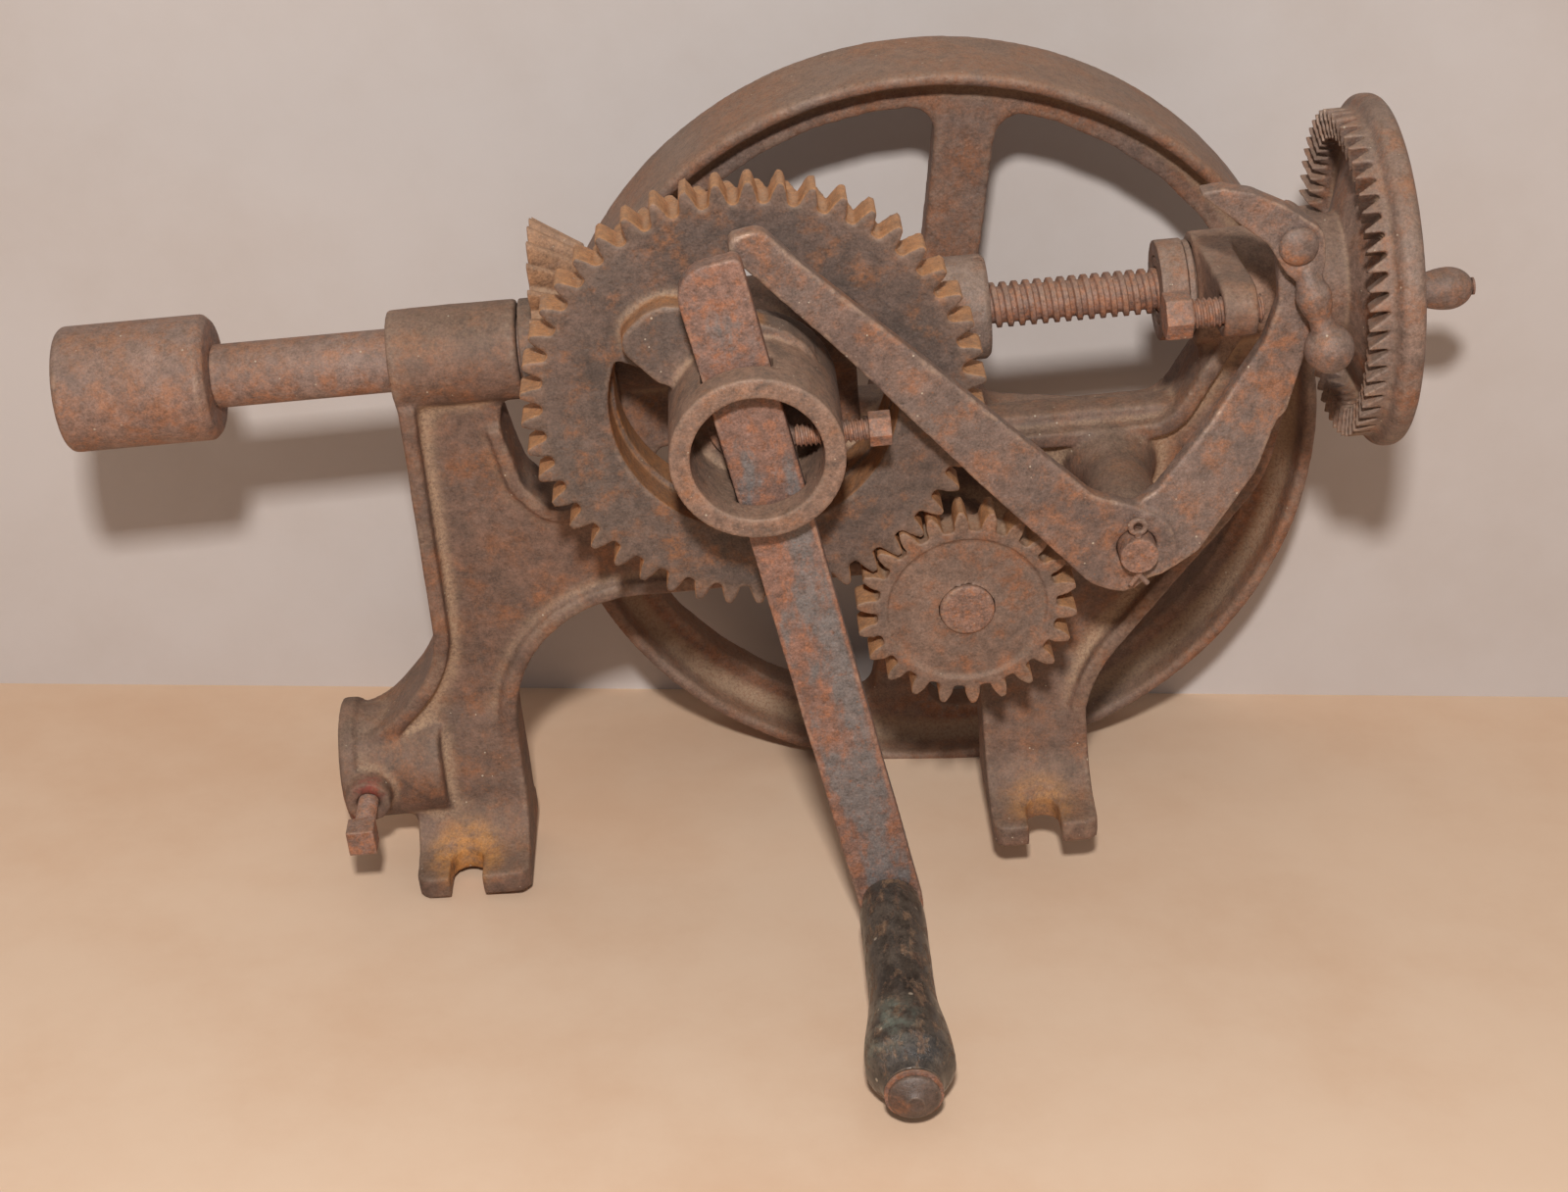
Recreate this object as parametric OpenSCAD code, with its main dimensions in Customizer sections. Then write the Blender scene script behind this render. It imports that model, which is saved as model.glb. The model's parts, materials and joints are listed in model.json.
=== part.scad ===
// Hand-cranked post drill: geared drive, screw feed and flywheel on one cast frame.
// X points to the crank side, Y to the post and Z up along the spindle. Millimetres.
// The origin lies on the post face, midway between the two foot slots.

/* [Layout] */
// Post face to the spindle axis
spindle_reach = 254; // [240:1:270]
// Height of the crank axis above the origin
crank_z = 20; // [17:0.5:23]
// Height of the flywheel shaft above the crank axis
shaft_rise = 83.7; // [78:0.1:90]
// Distance between the two foot slots
foot_slot_gap = 273; // [269:1:277]
// Travel of the spindle from its lowest place
spindle_travel = 70; // [40:1:72]

/* [Gears] */
// Tooth spacing along the pitch circles
circular_pitch = 12.7; // [12.5:0.05:12.9]
// Teeth of the crank gear
gear_teeth = 46; // [44:1:47]
// Teeth of the pinion on the flywheel shaft
pinion_teeth = 22; // [20:1:24]
// Teeth of the bevel ring on the back of the crank gear
ring_teeth = 45; // [44:1:45]
// Teeth of the bevel gear on the spindle
bevel_teeth = 26; // [25:1:26]
// Play between two meshing teeth
backlash = 0.7; // [0.5:0.05:1]
// Face width of the crank gear and the pinion
gear_face_w = 16.5; // [12:0.5:17]
// Back plane of the crank gear and the pinion
gear_back_x = 59; // [59:0.1:60]
// Angle of one crank gear tooth
gear_phase = 4.3; // [0:0.1:7]

/* [Crank gear casting] */
// Outer radius of the hollow hub
hub_r = 35.7; // [34:0.1:37]
// Radius of the hollow in the hub
hub_hollow_r = 26.7; // [25:0.1:28]
// Front plane of the hub
hub_front_x = 127.6; // [122:0.1:132]
// Floor of the hollow
hub_floor_x = 88; // [86:0.1:90]
// Outer radius of the back hub
back_hub_r = 24; // [20:0.5:28]
// Radius of the round opening between hub and teeth
window_r = 60; // [55:0.5:66]
// Front plane of the snail cam
cam_front_x = 87.7; // [82:0.1:88]

/* [Crank] */
// Width of the crank bar
bar_w = 28.6; // [24:0.1:32]
// Thickness of the crank bar
bar_t = 9.5; // [8:0.1:11]
// Back plane of the crank bar
bar_back_x = 104; // [103.5:0.1:106]
// Crank axis to the grip axis
crank_radius = 236; // [200:1:250]
// Length of the bar past the crank axis at its free end
bar_tail = 80; // [60:1:95]
// Angle between the bar and the line square to the post
bar_angle = 9.65; // [0:0.05:30]
// Length of the wooden grip
grip_l = 128; // [100:1:140]
// Largest radius of the wooden grip
grip_r = 19.6; // [16:0.1:21]
// Radius of the grip bolt
grip_bolt_r = 5; // [4:0.5:6]
// Radius of the bar set screw
bar_screw_r = 4.75; // [4:0.25:5]
// Height of the head of the bar set screw
bar_screw_head_h = 9; // [6:0.5:11]

/* [Spindle] */
// Radius of the spindle
spindle_r = 14; // [12:0.5:15]
// Radius of the chuck
chuck_r = 27.7; // [24:0.1:30]
// Length of the chuck
chuck_l = 66; // [50:1:80]
// Radius of the drill shank bore
shank_r = 6.35; // [5:0.05:9]
// Depth of the drill shank bore
shank_depth = 50; // [30:1:52]
// Lower end of the lower bearing
lower_boss_z0 = -137.6; // [-139:0.1:-134]
// Radius of the lower bearing boss
lower_boss_r = 22.4; // [20:0.1:25]
// Height range of the middle bearing: lower end
middle_boss_z0 = -40; // [-43:1:-30]
// Height range of the middle bearing: upper end
middle_boss_z1 = 66; // [60:1:72]
// Radius of the middle bearing boss
middle_boss_r = 23; // [20:0.5:26]
// Height of the thrust head above the crank axis
thrust_rise = 78; // [74:0.5:80]
// Length of the thrust head
thrust_l = 27; // [24:0.5:30]
// Outer radius of the thrust head
thrust_r = 23; // [21:0.5:26]
// Radius of the thrust collar on the spindle
thrust_collar_r = 18.5; // [17:0.1:19]

/* [Feed] */
// Outer radius of the feed screw
feed_screw_r = 10; // [8:0.25:11]
// Advance of the feed screw in one turn
feed_pitch = 5.08; // [4:0.01:6.5]
// Upper end of the feed screw at the lowest place
feed_screw_top = 290; // [280:1:300]
// Lower end of the upper bearing boss
upper_boss_z0 = 214; // [212:0.5:216]
// Length of the upper bearing boss
upper_boss_l = 48; // [44:0.5:49]
// Radius of the upper bearing boss
upper_boss_r = 25; // [22:0.5:27]
// Radius of the feed wheel sleeve in the bearing
sleeve_r = 15; // [13:0.25:16]
// Outer radius of the feed wheel
wheel_r = 77; // [68:0.5:77]
// Ratchet teeth of the feed wheel
wheel_teeth = 54; // [48:1:60]
// Depth of the ratchet teeth at the outer edge
wheel_tooth_h = 11; // [7:0.5:12]
// Outer radius of the retaining collar
collar_r = 22; // [20:0.5:24]
// Length of the retaining collar
collar_l = 11.5; // [8:0.5:12]
// Largest radius of the wheel knob
knob_r = 9.8; // [7:0.1:10]

/* [Lever and pawl] */
// Lever pivot to the post face
pivot_y = 177.3; // [174:0.1:180]
// Height of the lever pivot
pivot_z = 175.7; // [173:0.1:178]
// Radius of the lever pivot pin
pivot_r = 8.1; // [6:0.1:9]
// Thickness of the lever plate
lever_t = 9; // [7:0.1:9]
// Front plane of the lever at its pivot
lever_front_x = 90; // [89.8:0.1:91]
// Front plane of the lever at its pawl end
lever_tip_x = 77; // [76:0.1:77]
// Thickness of the pawl
pawl_t = 9; // [7:0.1:10]
// Radius of the pawl rivet
rivet_r = 5; // [4:0.1:5.5]
// Radius of the ball on the pawl
pawl_ball_r = 10.4; // [9:0.1:10.4]
// Radius of the feed adjusting screw
adjust_r = 6.35; // [5:0.05:6.35]
// Distance of the adjusting screw from the spindle axis, along X
adjust_x = 66.5; // [62:0.1:66.5]

/* [Flywheel] */
// Outer radius of the flywheel
flywheel_r = 187.6; // [170:0.2:195]
// Front plane of the flywheel rim
flywheel_front_x = -83.6; // [-90:0.1:-82]
// Width of the flywheel rim
rim_w = 57.4; // [40:0.2:65]
// Thickness of the rim at its edges
rim_t = 7; // [5:0.5:10]
// Depth of the flat ring between the rim and the openings
rim_ledge = 15.5; // [10:0.5:20]
// Width of a spoke at the rim
spoke_w = 29; // [22:0.5:36]
// Turn of the spokes as the drill stands
spoke_turn = -9; // [-20:1:20]
// Radius of the flywheel shaft
shaft_r = 12; // [10:0.25:13]

/* [Frame] */
// Thickness of the web of the frame
web_t = 16; // [12:0.5:18]
// Back plane of the web
web_back_x = -5; // [-8:0.5:-4]
// Width of the low edge along the arch
arch_edge_w = 30; // [24:1:36]
// Width of the flanges of the frame
flange_w = 38; // [30:1:42]
// Thickness of the flanges
flange_t = 8; // [6:0.5:10]
// Thickness of the foot pads
foot_t = 12; // [9:0.5:15]
// Width of the foot slots
foot_slot_w = 14.4; // [11:0.1:16]
// Depth of the foot slots to their round end
foot_slot_depth = 15.5; // [10:0.5:18]
// Front edge of the foot pads
foot_front_x = 54; // [50:0.5:58]
// Radius of the table-arm bore
arm_bore_r = 16.25; // [14:0.05:19]
// Depth of the table-arm bore
arm_bore_l = 43; // [35:1:44]
// Outer radius of the table-arm socket
socket_r = 28; // [26:0.5:30]
// Axis of the table-arm socket to the post face
socket_y = 47; // [44:0.5:50]
// Mouth of the table-arm socket
socket_z0 = -191; // [-194:0.5:-188]
// Radius of the shaft boss
shaft_boss_r = 23; // [20:0.5:25]
// Radius of the lever boss
lever_boss_r = 16; // [13:0.5:17]

/* [Hidden] */

$fn = 64;
cut = 1;          // overshoot of every cut
fit = 0.05;       // radial play of a running fit
gap = 0.3;        // space between parts that pass each other
iron = [0.36, 0.27, 0.22];
steel = [0.45, 0.38, 0.34];
rust = [0.48, 0.30, 0.19];
wood = [0.12, 0.09, 0.08];

module_mm = circular_pitch / PI;
spindle_y = -spindle_reach;
gear_r = module_mm * gear_teeth / 2;
pinion_r = module_mm * pinion_teeth / 2;
ring_r = module_mm * ring_teeth / 2;
bevel_r = module_mm * bevel_teeth / 2;
gear_front_x = gear_back_x + gear_face_w;
shaft_z = crank_z + shaft_rise;
shaft_y = spindle_y + sqrt(pow(gear_r + pinion_r, 2) - pow(shaft_rise, 2));
centre_angle = atan2(shaft_rise, shaft_y - spindle_y);
pinion_phase = centre_angle + 180 + 180 / pinion_teeth
    - (gear_phase - centre_angle) * gear_teeth / pinion_teeth;
cone_scale = 0.753;   // small end of the bevel teeth against the large end

stud_r = 12.7;
stud_in_x = spindle_r + 2;
stud_out_x = bar_back_x - 2;
stud_boss_r = 20;
stud_boss_x = 34.7;
washer_t = 3;
stud_pin_x = hub_floor_x + gap + washer_t + 4;
split_r = 1.6;

bar_mid_x = bar_back_x + bar_t / 2;
bar_front_x = bar_back_x + bar_t;
grip_x0 = bar_front_x + 0.5;
grip_x1 = grip_x0 + grip_l;
grip_washer_t = 1.5;
bar_screw_tip = crank_z + bar_w / 2 / cos(bar_angle) + bar_screw_r * tan(bar_angle) + gap;
bar_screw_head_z = crank_z + hub_r + 9.8;

bevel_hub_r = 22;
bevel_hub_l = 8.7;
bevel_z = crank_z - ring_r;
lower_boss_z1 = bevel_z - bevel_hub_l - gap;
key_w = 6;

thrust_z0 = crank_z + thrust_rise;
thrust_z1 = thrust_z0 + thrust_l;
thrust_floor = 5.5;
thrust_roof = 7;
collar_z0 = thrust_z0 + thrust_floor + gap;
thrust_collar_l = 8;
spindle_top = thrust_z1 - thrust_roof - gap;
journal_r = feed_screw_r - 2;
chuck_z1 = -215.6;
chuck_z0 = chuck_z1 - chuck_l;
spindle_nose_r = 9;
spindle_nose_l = 12;
chuck_screw_r = 4;
chuck_screw_z = chuck_z0 + 20;

upper_boss_z1 = upper_boss_z0 + upper_boss_l;
bushing_flange_t = 3;
bushing_wall = 3;
retain_z1 = upper_boss_z0 - bushing_flange_t - gap;
retain_z0 = retain_z1 - collar_l;
wheel_root_z = upper_boss_z1 + 25;
wheel_back_z = wheel_root_z + 13;
wheel_band = 19;
wheel_hub_r = 27;
wheel_web_t = 7;
wheel_web_z = wheel_back_z - 11;
wheel_tooth_r = wheel_r - 5.5;
knob_angle = 143;
knob_place = wheel_r - wheel_band - 7;
knob_x = knob_place * cos(knob_angle);
knob_y = knob_place * sin(knob_angle);
knob_gap_z = wheel_back_z + 6;
knob_l = 44;
knob_stud_r = 3;

lever_hub_r = 17;
lever_arm_slope = 4.8;
lever_reach = 80;
lever_tip_slope = atan((lever_front_x - lever_tip_x) / lever_reach);
lever_hub_back_x = lever_front_x - lever_t - lever_hub_r * tan(lever_tip_slope) - gap;
pin_end_x = lever_front_x + 8.5;
lever_pin_x = pin_end_x - 3.8;
pawl_back_x = lever_tip_x + gap;
pawl_front_x = pawl_back_x + pawl_t;
rivet_head_r = 8.2;
rivet_y = -pivot_y - 129.7;
rivet_z = pivot_z + 67.3;
ball_x = pawl_back_x + pawl_ball_r + gap;
adjust_y = -pivot_y - 94.7;
adjust_head_z = upper_boss_z0 - 22;
adjust_head_h = 11;
adjust_tip_z = pivot_z + 57.2;
lug_t = 15.6;
lug_z0 = upper_boss_z0 + 1;
lug_end_x = adjust_x + 9.5;

flywheel_mid_x = flywheel_front_x - rim_w / 2;
flywheel_hub_r = 30;
flywheel_hub_x1 = flywheel_front_x + 3;
flywheel_hub_x0 = flywheel_front_x - rim_w - 4;
shaft_boss_x0 = flywheel_hub_x1 + gap;
shaft_boss_x1 = gear_back_x - 4;
spoke_t = 18;

web_front_x = web_back_x + web_t;
foot_z = foot_slot_gap / 2;
foot_back_x = -flange_w / 2 - 0.5;
foot_outer = 23.5;
foot_inner_low = 30.5;
foot_low_z0 = -foot_z - foot_outer;
foot_low_z1 = -foot_z + foot_inner_low;
foot_high_z0 = foot_z - foot_outer - 1;
foot_high_z1 = foot_z + 25.5;
slot_x = foot_front_x - foot_slot_depth;
foot_r = 24;      // radius of the hollow sweep from leg to foot
foot_ramp = 44;   // height of the slope from the web out to the leg's front
recess_r = foot_slot_w * 0.92;
arch_y = -131;
rim_lip = 3;
rim_lip_l = 8;
arm_screw_r = 4.75;
arm_screw_z = socket_z0 + 13;
arm_screw_boss_x = 38;

// Slab from x0 to x1 of a shape drawn in Y and Z
module side(x0, x1) {
    rotate([90, 0, 90]) translate([0, 0, x0]) linear_extrude(x1 - x0) children();
}

// Round bar along X through the point (y, z)
module rod_x(x0, x1, r, y, z) {
    translate([x0, y, z]) rotate([0, 90, 0]) cylinder(h = x1 - x0, r = r);
}

// Round bar along Z on the spindle axis, or moved from it by (x, y)
module rod_z(z0, z1, r, x = 0, y = 0) {
    translate([x, spindle_y + y, z0]) cylinder(h = z1 - z0, r = r);
}

// Six-sided bar along Z, r to its corners
module hex_z(h, r) {
    cylinder(h = h, r = r, $fn = 6);
}

function unit(v) = v / norm(v);
function flat(p) = [p[0], p[1]];

// Points of an arc that rounds corner b between a and c, its radius held by the sides
function corner(a, b, c, want, n) =
    let(u = unit(a - b), v = unit(c - b), half = acos(u * v) / 2,
        r = min(want, 0.49 * min(norm(a - b), norm(c - b)) * tan(half)),
        centre = b + unit(u + v) * r / sin(half),
        p0 = b + u * r / tan(half) - centre, p1 = b + v * r / tan(half) - centre,
        t0 = atan2(p0.y, p0.x), turn = (atan2(p1.y, p1.x) - t0 + 540) % 360 - 180)
    [for (i = [0 : n]) centre + r * [cos(t0 + turn * i / n), sin(t0 + turn * i / n)]];

// Closed outline with corners given as [y, z, radius]
function rounded(p, n = 6) = [for (i = [0 : len(p) - 1])
    let(a = p[(i + len(p) - 1) % len(p)], b = p[i], c = p[(i + 1) % len(p)])
    each (len(b) < 3 ? [flat(b)] : corner(flat(a), flat(b), flat(c), b[2], n))];

// Open line with its inner corners rounded
function bent(p, n = 10) = [for (i = [0 : len(p) - 1])
    each (len(p[i]) < 3 ? [flat(p[i])]
        : corner(flat(p[i - 1]), flat(p[i]), flat(p[i + 1]), p[i][2], n))];

// Band of thickness t on the left of an open line
function band(p, t) =
    let(n = len(p), d = [for (i = [0 : n - 2]) unit(p[i + 1] - p[i])],
        m = [for (i = [0 : n - 1]) unit((i == 0 ? d[0] : d[i - 1]) + (i == n - 1 ? d[n - 2] : d[i]))],
        off = [for (i = [0 : n - 1]) let(e = i == 0 ? d[0] : d[i - 1])
            p[i] + [-m[i].y, m[i].x] * t / (m[i] * e)])
    concat(p, [for (i = [n - 1 : -1 : 0]) off[i]]);

// Half the angle of an involute tooth at radius r, for a gear of pitch radius pr
function involute(a) = tan(a) - a * PI / 180;
function half_tooth(pr, r, slack) =
    let(base = pr * cos(20), a = acos(min(1, base / r)))
    (module_mm * PI / 4 - slack / 4) / pr * 180 / PI + (involute(20) - involute(a)) * 180 / PI;

// Outline of a spur gear with its first tooth on the Y axis
function spur(teeth) =
    let(pr = module_mm * teeth / 2, root = pr - 1.25 * module_mm,
        hs = [root, max(root + 0.6, pr * cos(20)), pr - module_mm / 2, pr, pr + module_mm / 2,
            pr + module_mm])
    [for (i = [0 : teeth - 1]) each concat(
        [for (r = hs) let(a = 360 / teeth * i - half_tooth(pr, r, backlash)) r * [cos(a), sin(a)]],
        [for (k = [5 : -1 : 0]) let(a = 360 / teeth * i + half_tooth(pr, hs[k], backlash))
            hs[k] * [cos(a), sin(a)]])];

// Outline of a bevel gear in the plane of its large end, dist from the apex
function bevel(teeth, pr, dist) =
    let(cone = atan(pr / dist), back_r = pr / cos(cone),
        hs = [-1.25, -0.7, -0.1, 0.5, 1] * module_mm,
        rim = [for (h = hs) (pr + h * cos(cone)) * dist / (dist - h * sin(cone))],
        ang = [for (h = hs) half_tooth(back_r, back_r + h, backlash) * (back_r + h) / (pr + h * cos(cone))])
    [for (i = [0 : teeth - 1]) each concat(
        [for (k = [0 : 4]) let(a = 360 / teeth * i - ang[k]) rim[k] * [cos(a), sin(a)]],
        [for (k = [4 : -1 : 0]) let(a = 360 / teeth * i + ang[k]) rim[k] * [cos(a), sin(a)]])];

// Height of a smooth curve through the knots at x
function curve(knots, x, i = 0) =
    x <= knots[i + 1][0] || i == len(knots) - 2
    ? let(t = (x - knots[i][0]) / (knots[i + 1][0] - knots[i][0]))
        knots[i][1] + (knots[i + 1][1] - knots[i][1]) * (1 - cos(180 * t)) / 2
    : curve(knots, x, i + 1);

// Turned solid along X from (x0) with its radius through the knots
module turned_x(x0, y, z, knots, steps) {
    length = knots[len(knots) - 1][0];
    translate([x0, y, z]) rotate([0, 90, 0]) rotate_extrude() polygon(concat([[0, 0]],
        [for (i = [0 : steps]) [curve(knots, length * i / steps), length * i / steps]], [[0, length]]));
}

// Split pin along +Y with its ring at the low end, through a shaft of radius r
module split_pin(r) {
    rotate([-90, 0, 0]) translate([0, 0, -r - 2]) cylinder(h = 2 * r + 5, r = split_r);
    translate([0, -r - 4.4, 0]) rotate([0, 90, 0]) rotate_extrude() translate([3.1, 0]) circle(r = 1.2);
    for (s = [-1, 1])
        translate([0, r + 2.5, 0]) rotate([-90 + 38 * s, 0, 0]) cylinder(h = 6, r = split_r * 0.7);
}

// Foot pad with a hollow sweep up to the leg and an open slot
module foot(z0, z1, slot_z) {
    difference() {
        union() {
            translate([0, 0, z0]) rotate([90, 0, 0]) linear_extrude(foot_t)
                polygon(rounded([[foot_back_x, 0], [foot_front_x, 0, 7], [foot_front_x, z1 - z0, 7],
                    [foot_back_x, z1 - z0]]));
            translate([0, 0, z0]) linear_extrude(z1 - z0) polygon(concat(
                [[0, -foot_t - foot_r - foot_ramp], [web_front_x, -foot_t - foot_r - foot_ramp]],
                [for (a = [180 : -8 : 108])
                    [flange_w / 2 + foot_r + foot_r * cos(a), -foot_t - foot_r + foot_r * sin(a)]],
                [[flange_w / 2 + foot_r, -foot_t], [flange_w / 2 + foot_r, -1], [0, -1]]));
        }
        translate([slot_x, cut, slot_z]) rotate([90, 0, 0]) cylinder(h = foot_t + 2 * cut, r = foot_slot_w / 2);
        translate([slot_x, -foot_t - cut, slot_z - foot_slot_w / 2])
            cube([foot_slot_depth + cut, foot_t + 2 * cut, foot_slot_w]);
        translate([slot_x + 4, -foot_t, slot_z]) rotate([90, 0, 0]) cylinder(h = foot_r, r = recess_r);
        translate([slot_x + 4, -foot_t - foot_r, slot_z - recess_r])
            cube([foot_slot_depth, foot_r, 2 * recess_r]);
    }
}

throat_low = [[spindle_y + 31, lower_boss_z1 - 13], [spindle_y + 61, lower_boss_z1 - 7, 12],
    [spindle_y + 79, lower_boss_z1 + 8, 10], [spindle_y + 50, middle_boss_z0]];
// Slot in the web beside the middle bearing
web_slot = [[-204, -27, 6], [-189.5, -27, 6], [-189.5, 24, 6], [-204, 24, 6]];
left_line = [[spindle_y + 16, lower_boss_z0 + 1], [-105, lower_boss_z0 - 1, 60], [-75, -167, 50],
    [-socket_y - socket_r + 9, socket_z0 + 2]];
arch_line = [[0, foot_low_z1], [arch_y, foot_low_z1, 100], [arch_y, foot_high_z0, 52], [0, foot_high_z0]];
right_line = [[0, foot_high_z1], [-62, foot_high_z1 - 2, 70], [-165, 246, 70],
    [spindle_y + 22, upper_boss_z1 - 1]];
throat_line = [[-190, 36], [-190, 206, 24], [spindle_y + 16, upper_boss_z0 + 22]];

module web() {
    polygon(concat(
        [[0, foot_low_z0], [-socket_y, foot_low_z0]],
        bent([left_line[3], left_line[2], left_line[1], left_line[0]]),
        [[spindle_y + 16, lower_boss_z1 - 10]],
        bent(throat_low),
        [[spindle_y + 14, middle_boss_z0], [spindle_y + 14, middle_boss_z1],
            [-204, middle_boss_z1], [-204, upper_boss_z0 - 6], [-212, upper_boss_z0 + 2],
            [spindle_y + 14, upper_boss_z0 + 2]],
        bent([right_line[3], right_line[2], right_line[1], right_line[0]]),
        bent([arch_line[3], arch_line[2], arch_line[1], arch_line[0]])));
}

module frame_casting() color(iron) difference() {
    union() {
        side(web_back_x, web_front_x) web();
        side(-arch_edge_w / 2, arch_edge_w / 2)
            polygon(band(bent([arch_line[3], arch_line[2], arch_line[1], arch_line[0]]), -flange_t));
        side(-flange_w / 2, flange_w / 2) {
            polygon(band(bent(left_line), flange_t));
            polygon(band(bent([right_line[3], right_line[2], right_line[1], right_line[0]]), -flange_t));
            polygon(band(bent(throat_line), flange_t));
        }
        side(-flange_w / 2, web_front_x + 3) polygon(band(bent(throat_low), -7));
        side(web_back_x - 5, web_front_x)
            polygon([[spindle_y + 10, middle_boss_z0], [spindle_y + 56, middle_boss_z0],
            [-186, middle_boss_z1], [spindle_y + 10, middle_boss_z1]]);
        rod_z(lower_boss_z0, lower_boss_z1, lower_boss_r);
        rod_z(middle_boss_z0, middle_boss_z1, middle_boss_r);
        rod_z(upper_boss_z0, upper_boss_z1, upper_boss_r);
        rod_x(0, stud_boss_x, stud_boss_r, spindle_y, crank_z);
        rod_x(shaft_boss_x0, shaft_boss_x1, shaft_boss_r, shaft_y, shaft_z);
        rod_x(0, lever_hub_back_x - gap, lever_boss_r, -pivot_y, pivot_z);
        translate([0, -pivot_y, pivot_z]) rotate([0, 90, 0])
            cylinder(h = 30, r1 = lever_boss_r + 10, r2 = lever_boss_r);
        translate([0, -socket_y, socket_z0]) cylinder(h = arm_bore_l + 5, r = socket_r);
        translate([0, -socket_y, socket_z0]) cylinder(h = rim_lip_l, r = socket_r + rim_lip);
        rod_x(0, arm_screw_boss_x, 11, -socket_y, arm_screw_z);
        foot(foot_low_z0, foot_low_z1, -foot_z);
        foot(foot_high_z0, foot_high_z1, foot_z);
        lug();
    }
    side(web_back_x - 5 - cut, web_front_x + cut) polygon(rounded(web_slot));
    rod_z(lower_boss_z0 - cut, lower_boss_z1 + cut, spindle_r + fit);
    rod_z(middle_boss_z0 - cut, middle_boss_z1 + cut, spindle_r + fit);
    rod_z(upper_boss_z0 - cut, upper_boss_z1 + cut, sleeve_r + bushing_wall);
    rod_x(stud_in_x, stud_boss_x + cut, stud_r, spindle_y, crank_z);
    rod_x(shaft_boss_x0 - cut, shaft_boss_x1 + cut, shaft_r + fit, shaft_y, shaft_z);
    rod_x(lever_hub_back_x - 40, lever_hub_back_x + cut, pivot_r, -pivot_y, pivot_z);
    translate([0, -socket_y, socket_z0 - cut]) cylinder(h = arm_bore_l + cut, r = arm_bore_r);
    rod_x(0, arm_screw_boss_x + cut, arm_screw_r + fit, -socket_y, arm_screw_z);
    translate([adjust_x, adjust_y, lug_z0 - cut]) cylinder(h = lug_t + 2 * cut, r = adjust_r + fit);
}

// Bracket on the upper bearing that holds the adjusting screw
module lug() {
    difference() {
        translate([0, 0, lug_z0]) linear_extrude(lug_t) polygon(rounded([[0, spindle_y - upper_boss_r + 1],
            [lug_end_x, adjust_y - 13, 12], [lug_end_x, adjust_y + 12, 11],
            [adjust_x - 12, adjust_y + 12, 8], [0, spindle_y + 10]], 6));
        rod_z(lug_z0 - cut, lug_z0 + lug_t + cut, upper_boss_r - 2);
    }
}

module arm_set_screw() color(rust) {
    rod_x(arm_bore_r + gap, arm_screw_boss_x + 20, arm_screw_r, -socket_y, arm_screw_z);
    translate([arm_screw_boss_x + 20, -socket_y - 6.35, arm_screw_z - 6.35]) cube([12, 12.7, 12.7]);
}

module lever_pivot_pin() color(steel) difference() {
    rod_x(lever_hub_back_x - 40, pin_end_x, pivot_r, -pivot_y, pivot_z);
    translate([lever_pin_x, -pivot_y, pivot_z]) rotate([90, 0, 0])
        cylinder(h = 2 * pivot_r + 2, r = split_r, center = true);
}

module lever_split_pin() color(steel)
    translate([lever_pin_x, -pivot_y, pivot_z]) split_pin(pivot_r);

module adjusting_screw() color(rust) {
    translate([adjust_x, adjust_y, adjust_head_z]) hex_z(adjust_head_h, 10.2);
    translate([adjust_x, adjust_y, adjust_head_z + adjust_head_h])
        cylinder(h = adjust_tip_z - adjust_head_z - adjust_head_h, r = adjust_r);
}

module feed_bushing() color(steel) difference() {
    union() {
        rod_z(upper_boss_z0, upper_boss_z1, sleeve_r + bushing_wall);
        rod_z(upper_boss_z0 - bushing_flange_t, upper_boss_z0, collar_r - 1);
    }
    rod_z(upper_boss_z0 - bushing_flange_t - cut, upper_boss_z1 + cut, sleeve_r + fit);
}

module crank_stud() color(steel) difference() {
    rod_x(stud_in_x, stud_out_x, stud_r, spindle_y, crank_z);
    translate([stud_pin_x, spindle_y, crank_z]) rotate([90, 0, 0])
        cylinder(h = 2 * stud_r + 2, r = split_r, center = true);
}

module stud_washer() color(steel) difference() {
    rod_x(hub_floor_x + gap, hub_floor_x + gap + washer_t, 20, spindle_y, crank_z);
    rod_x(hub_floor_x, hub_floor_x + gap + washer_t + cut, stud_r + fit, spindle_y, crank_z);
}

module stud_split_pin() color(steel)
    translate([stud_pin_x, spindle_y, crank_z]) split_pin(stud_r);

// Snail cam around the hub, each point given by its angle and radius
cam_points = [[200, 30], [124, 36], [140, 37.6], [155, 39.8], [172, 41.4], [190, 50], [212, 61.6],
    [219, 64], [235.5, 66.8], [248, 37]];

module bar_opening() {
    translate([0, spindle_y, crank_z]) rotate([bar_angle, 0, 0])
        translate([bar_back_x - gap, -hub_r - cut, -bar_w / 2 - gap])
            cube([bar_t + 2 * gap, 2 * hub_r + 2 * cut, bar_w + 2 * gap]);
}

// Bevel teeth on the back of the crank gear, their cone pointing at the spindle
module bevel_ring() {
    grow = gear_back_x / bevel_r;
    intersection() {
        translate([gear_back_x, spindle_y, crank_z]) rotate([-90, 0, 0]) rotate([0, -90, 0])
            linear_extrude(gear_back_x - bevel_r * cone_scale, scale = bevel_r * cone_scale / gear_back_x)
                rotate(90) polygon(grow * bevel(ring_teeth, ring_r, bevel_r));
        rod_x(bevel_r * cone_scale - cut, gear_back_x + cut, gear_r - 1.25 * module_mm, spindle_y, crank_z);
    }
}

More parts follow.
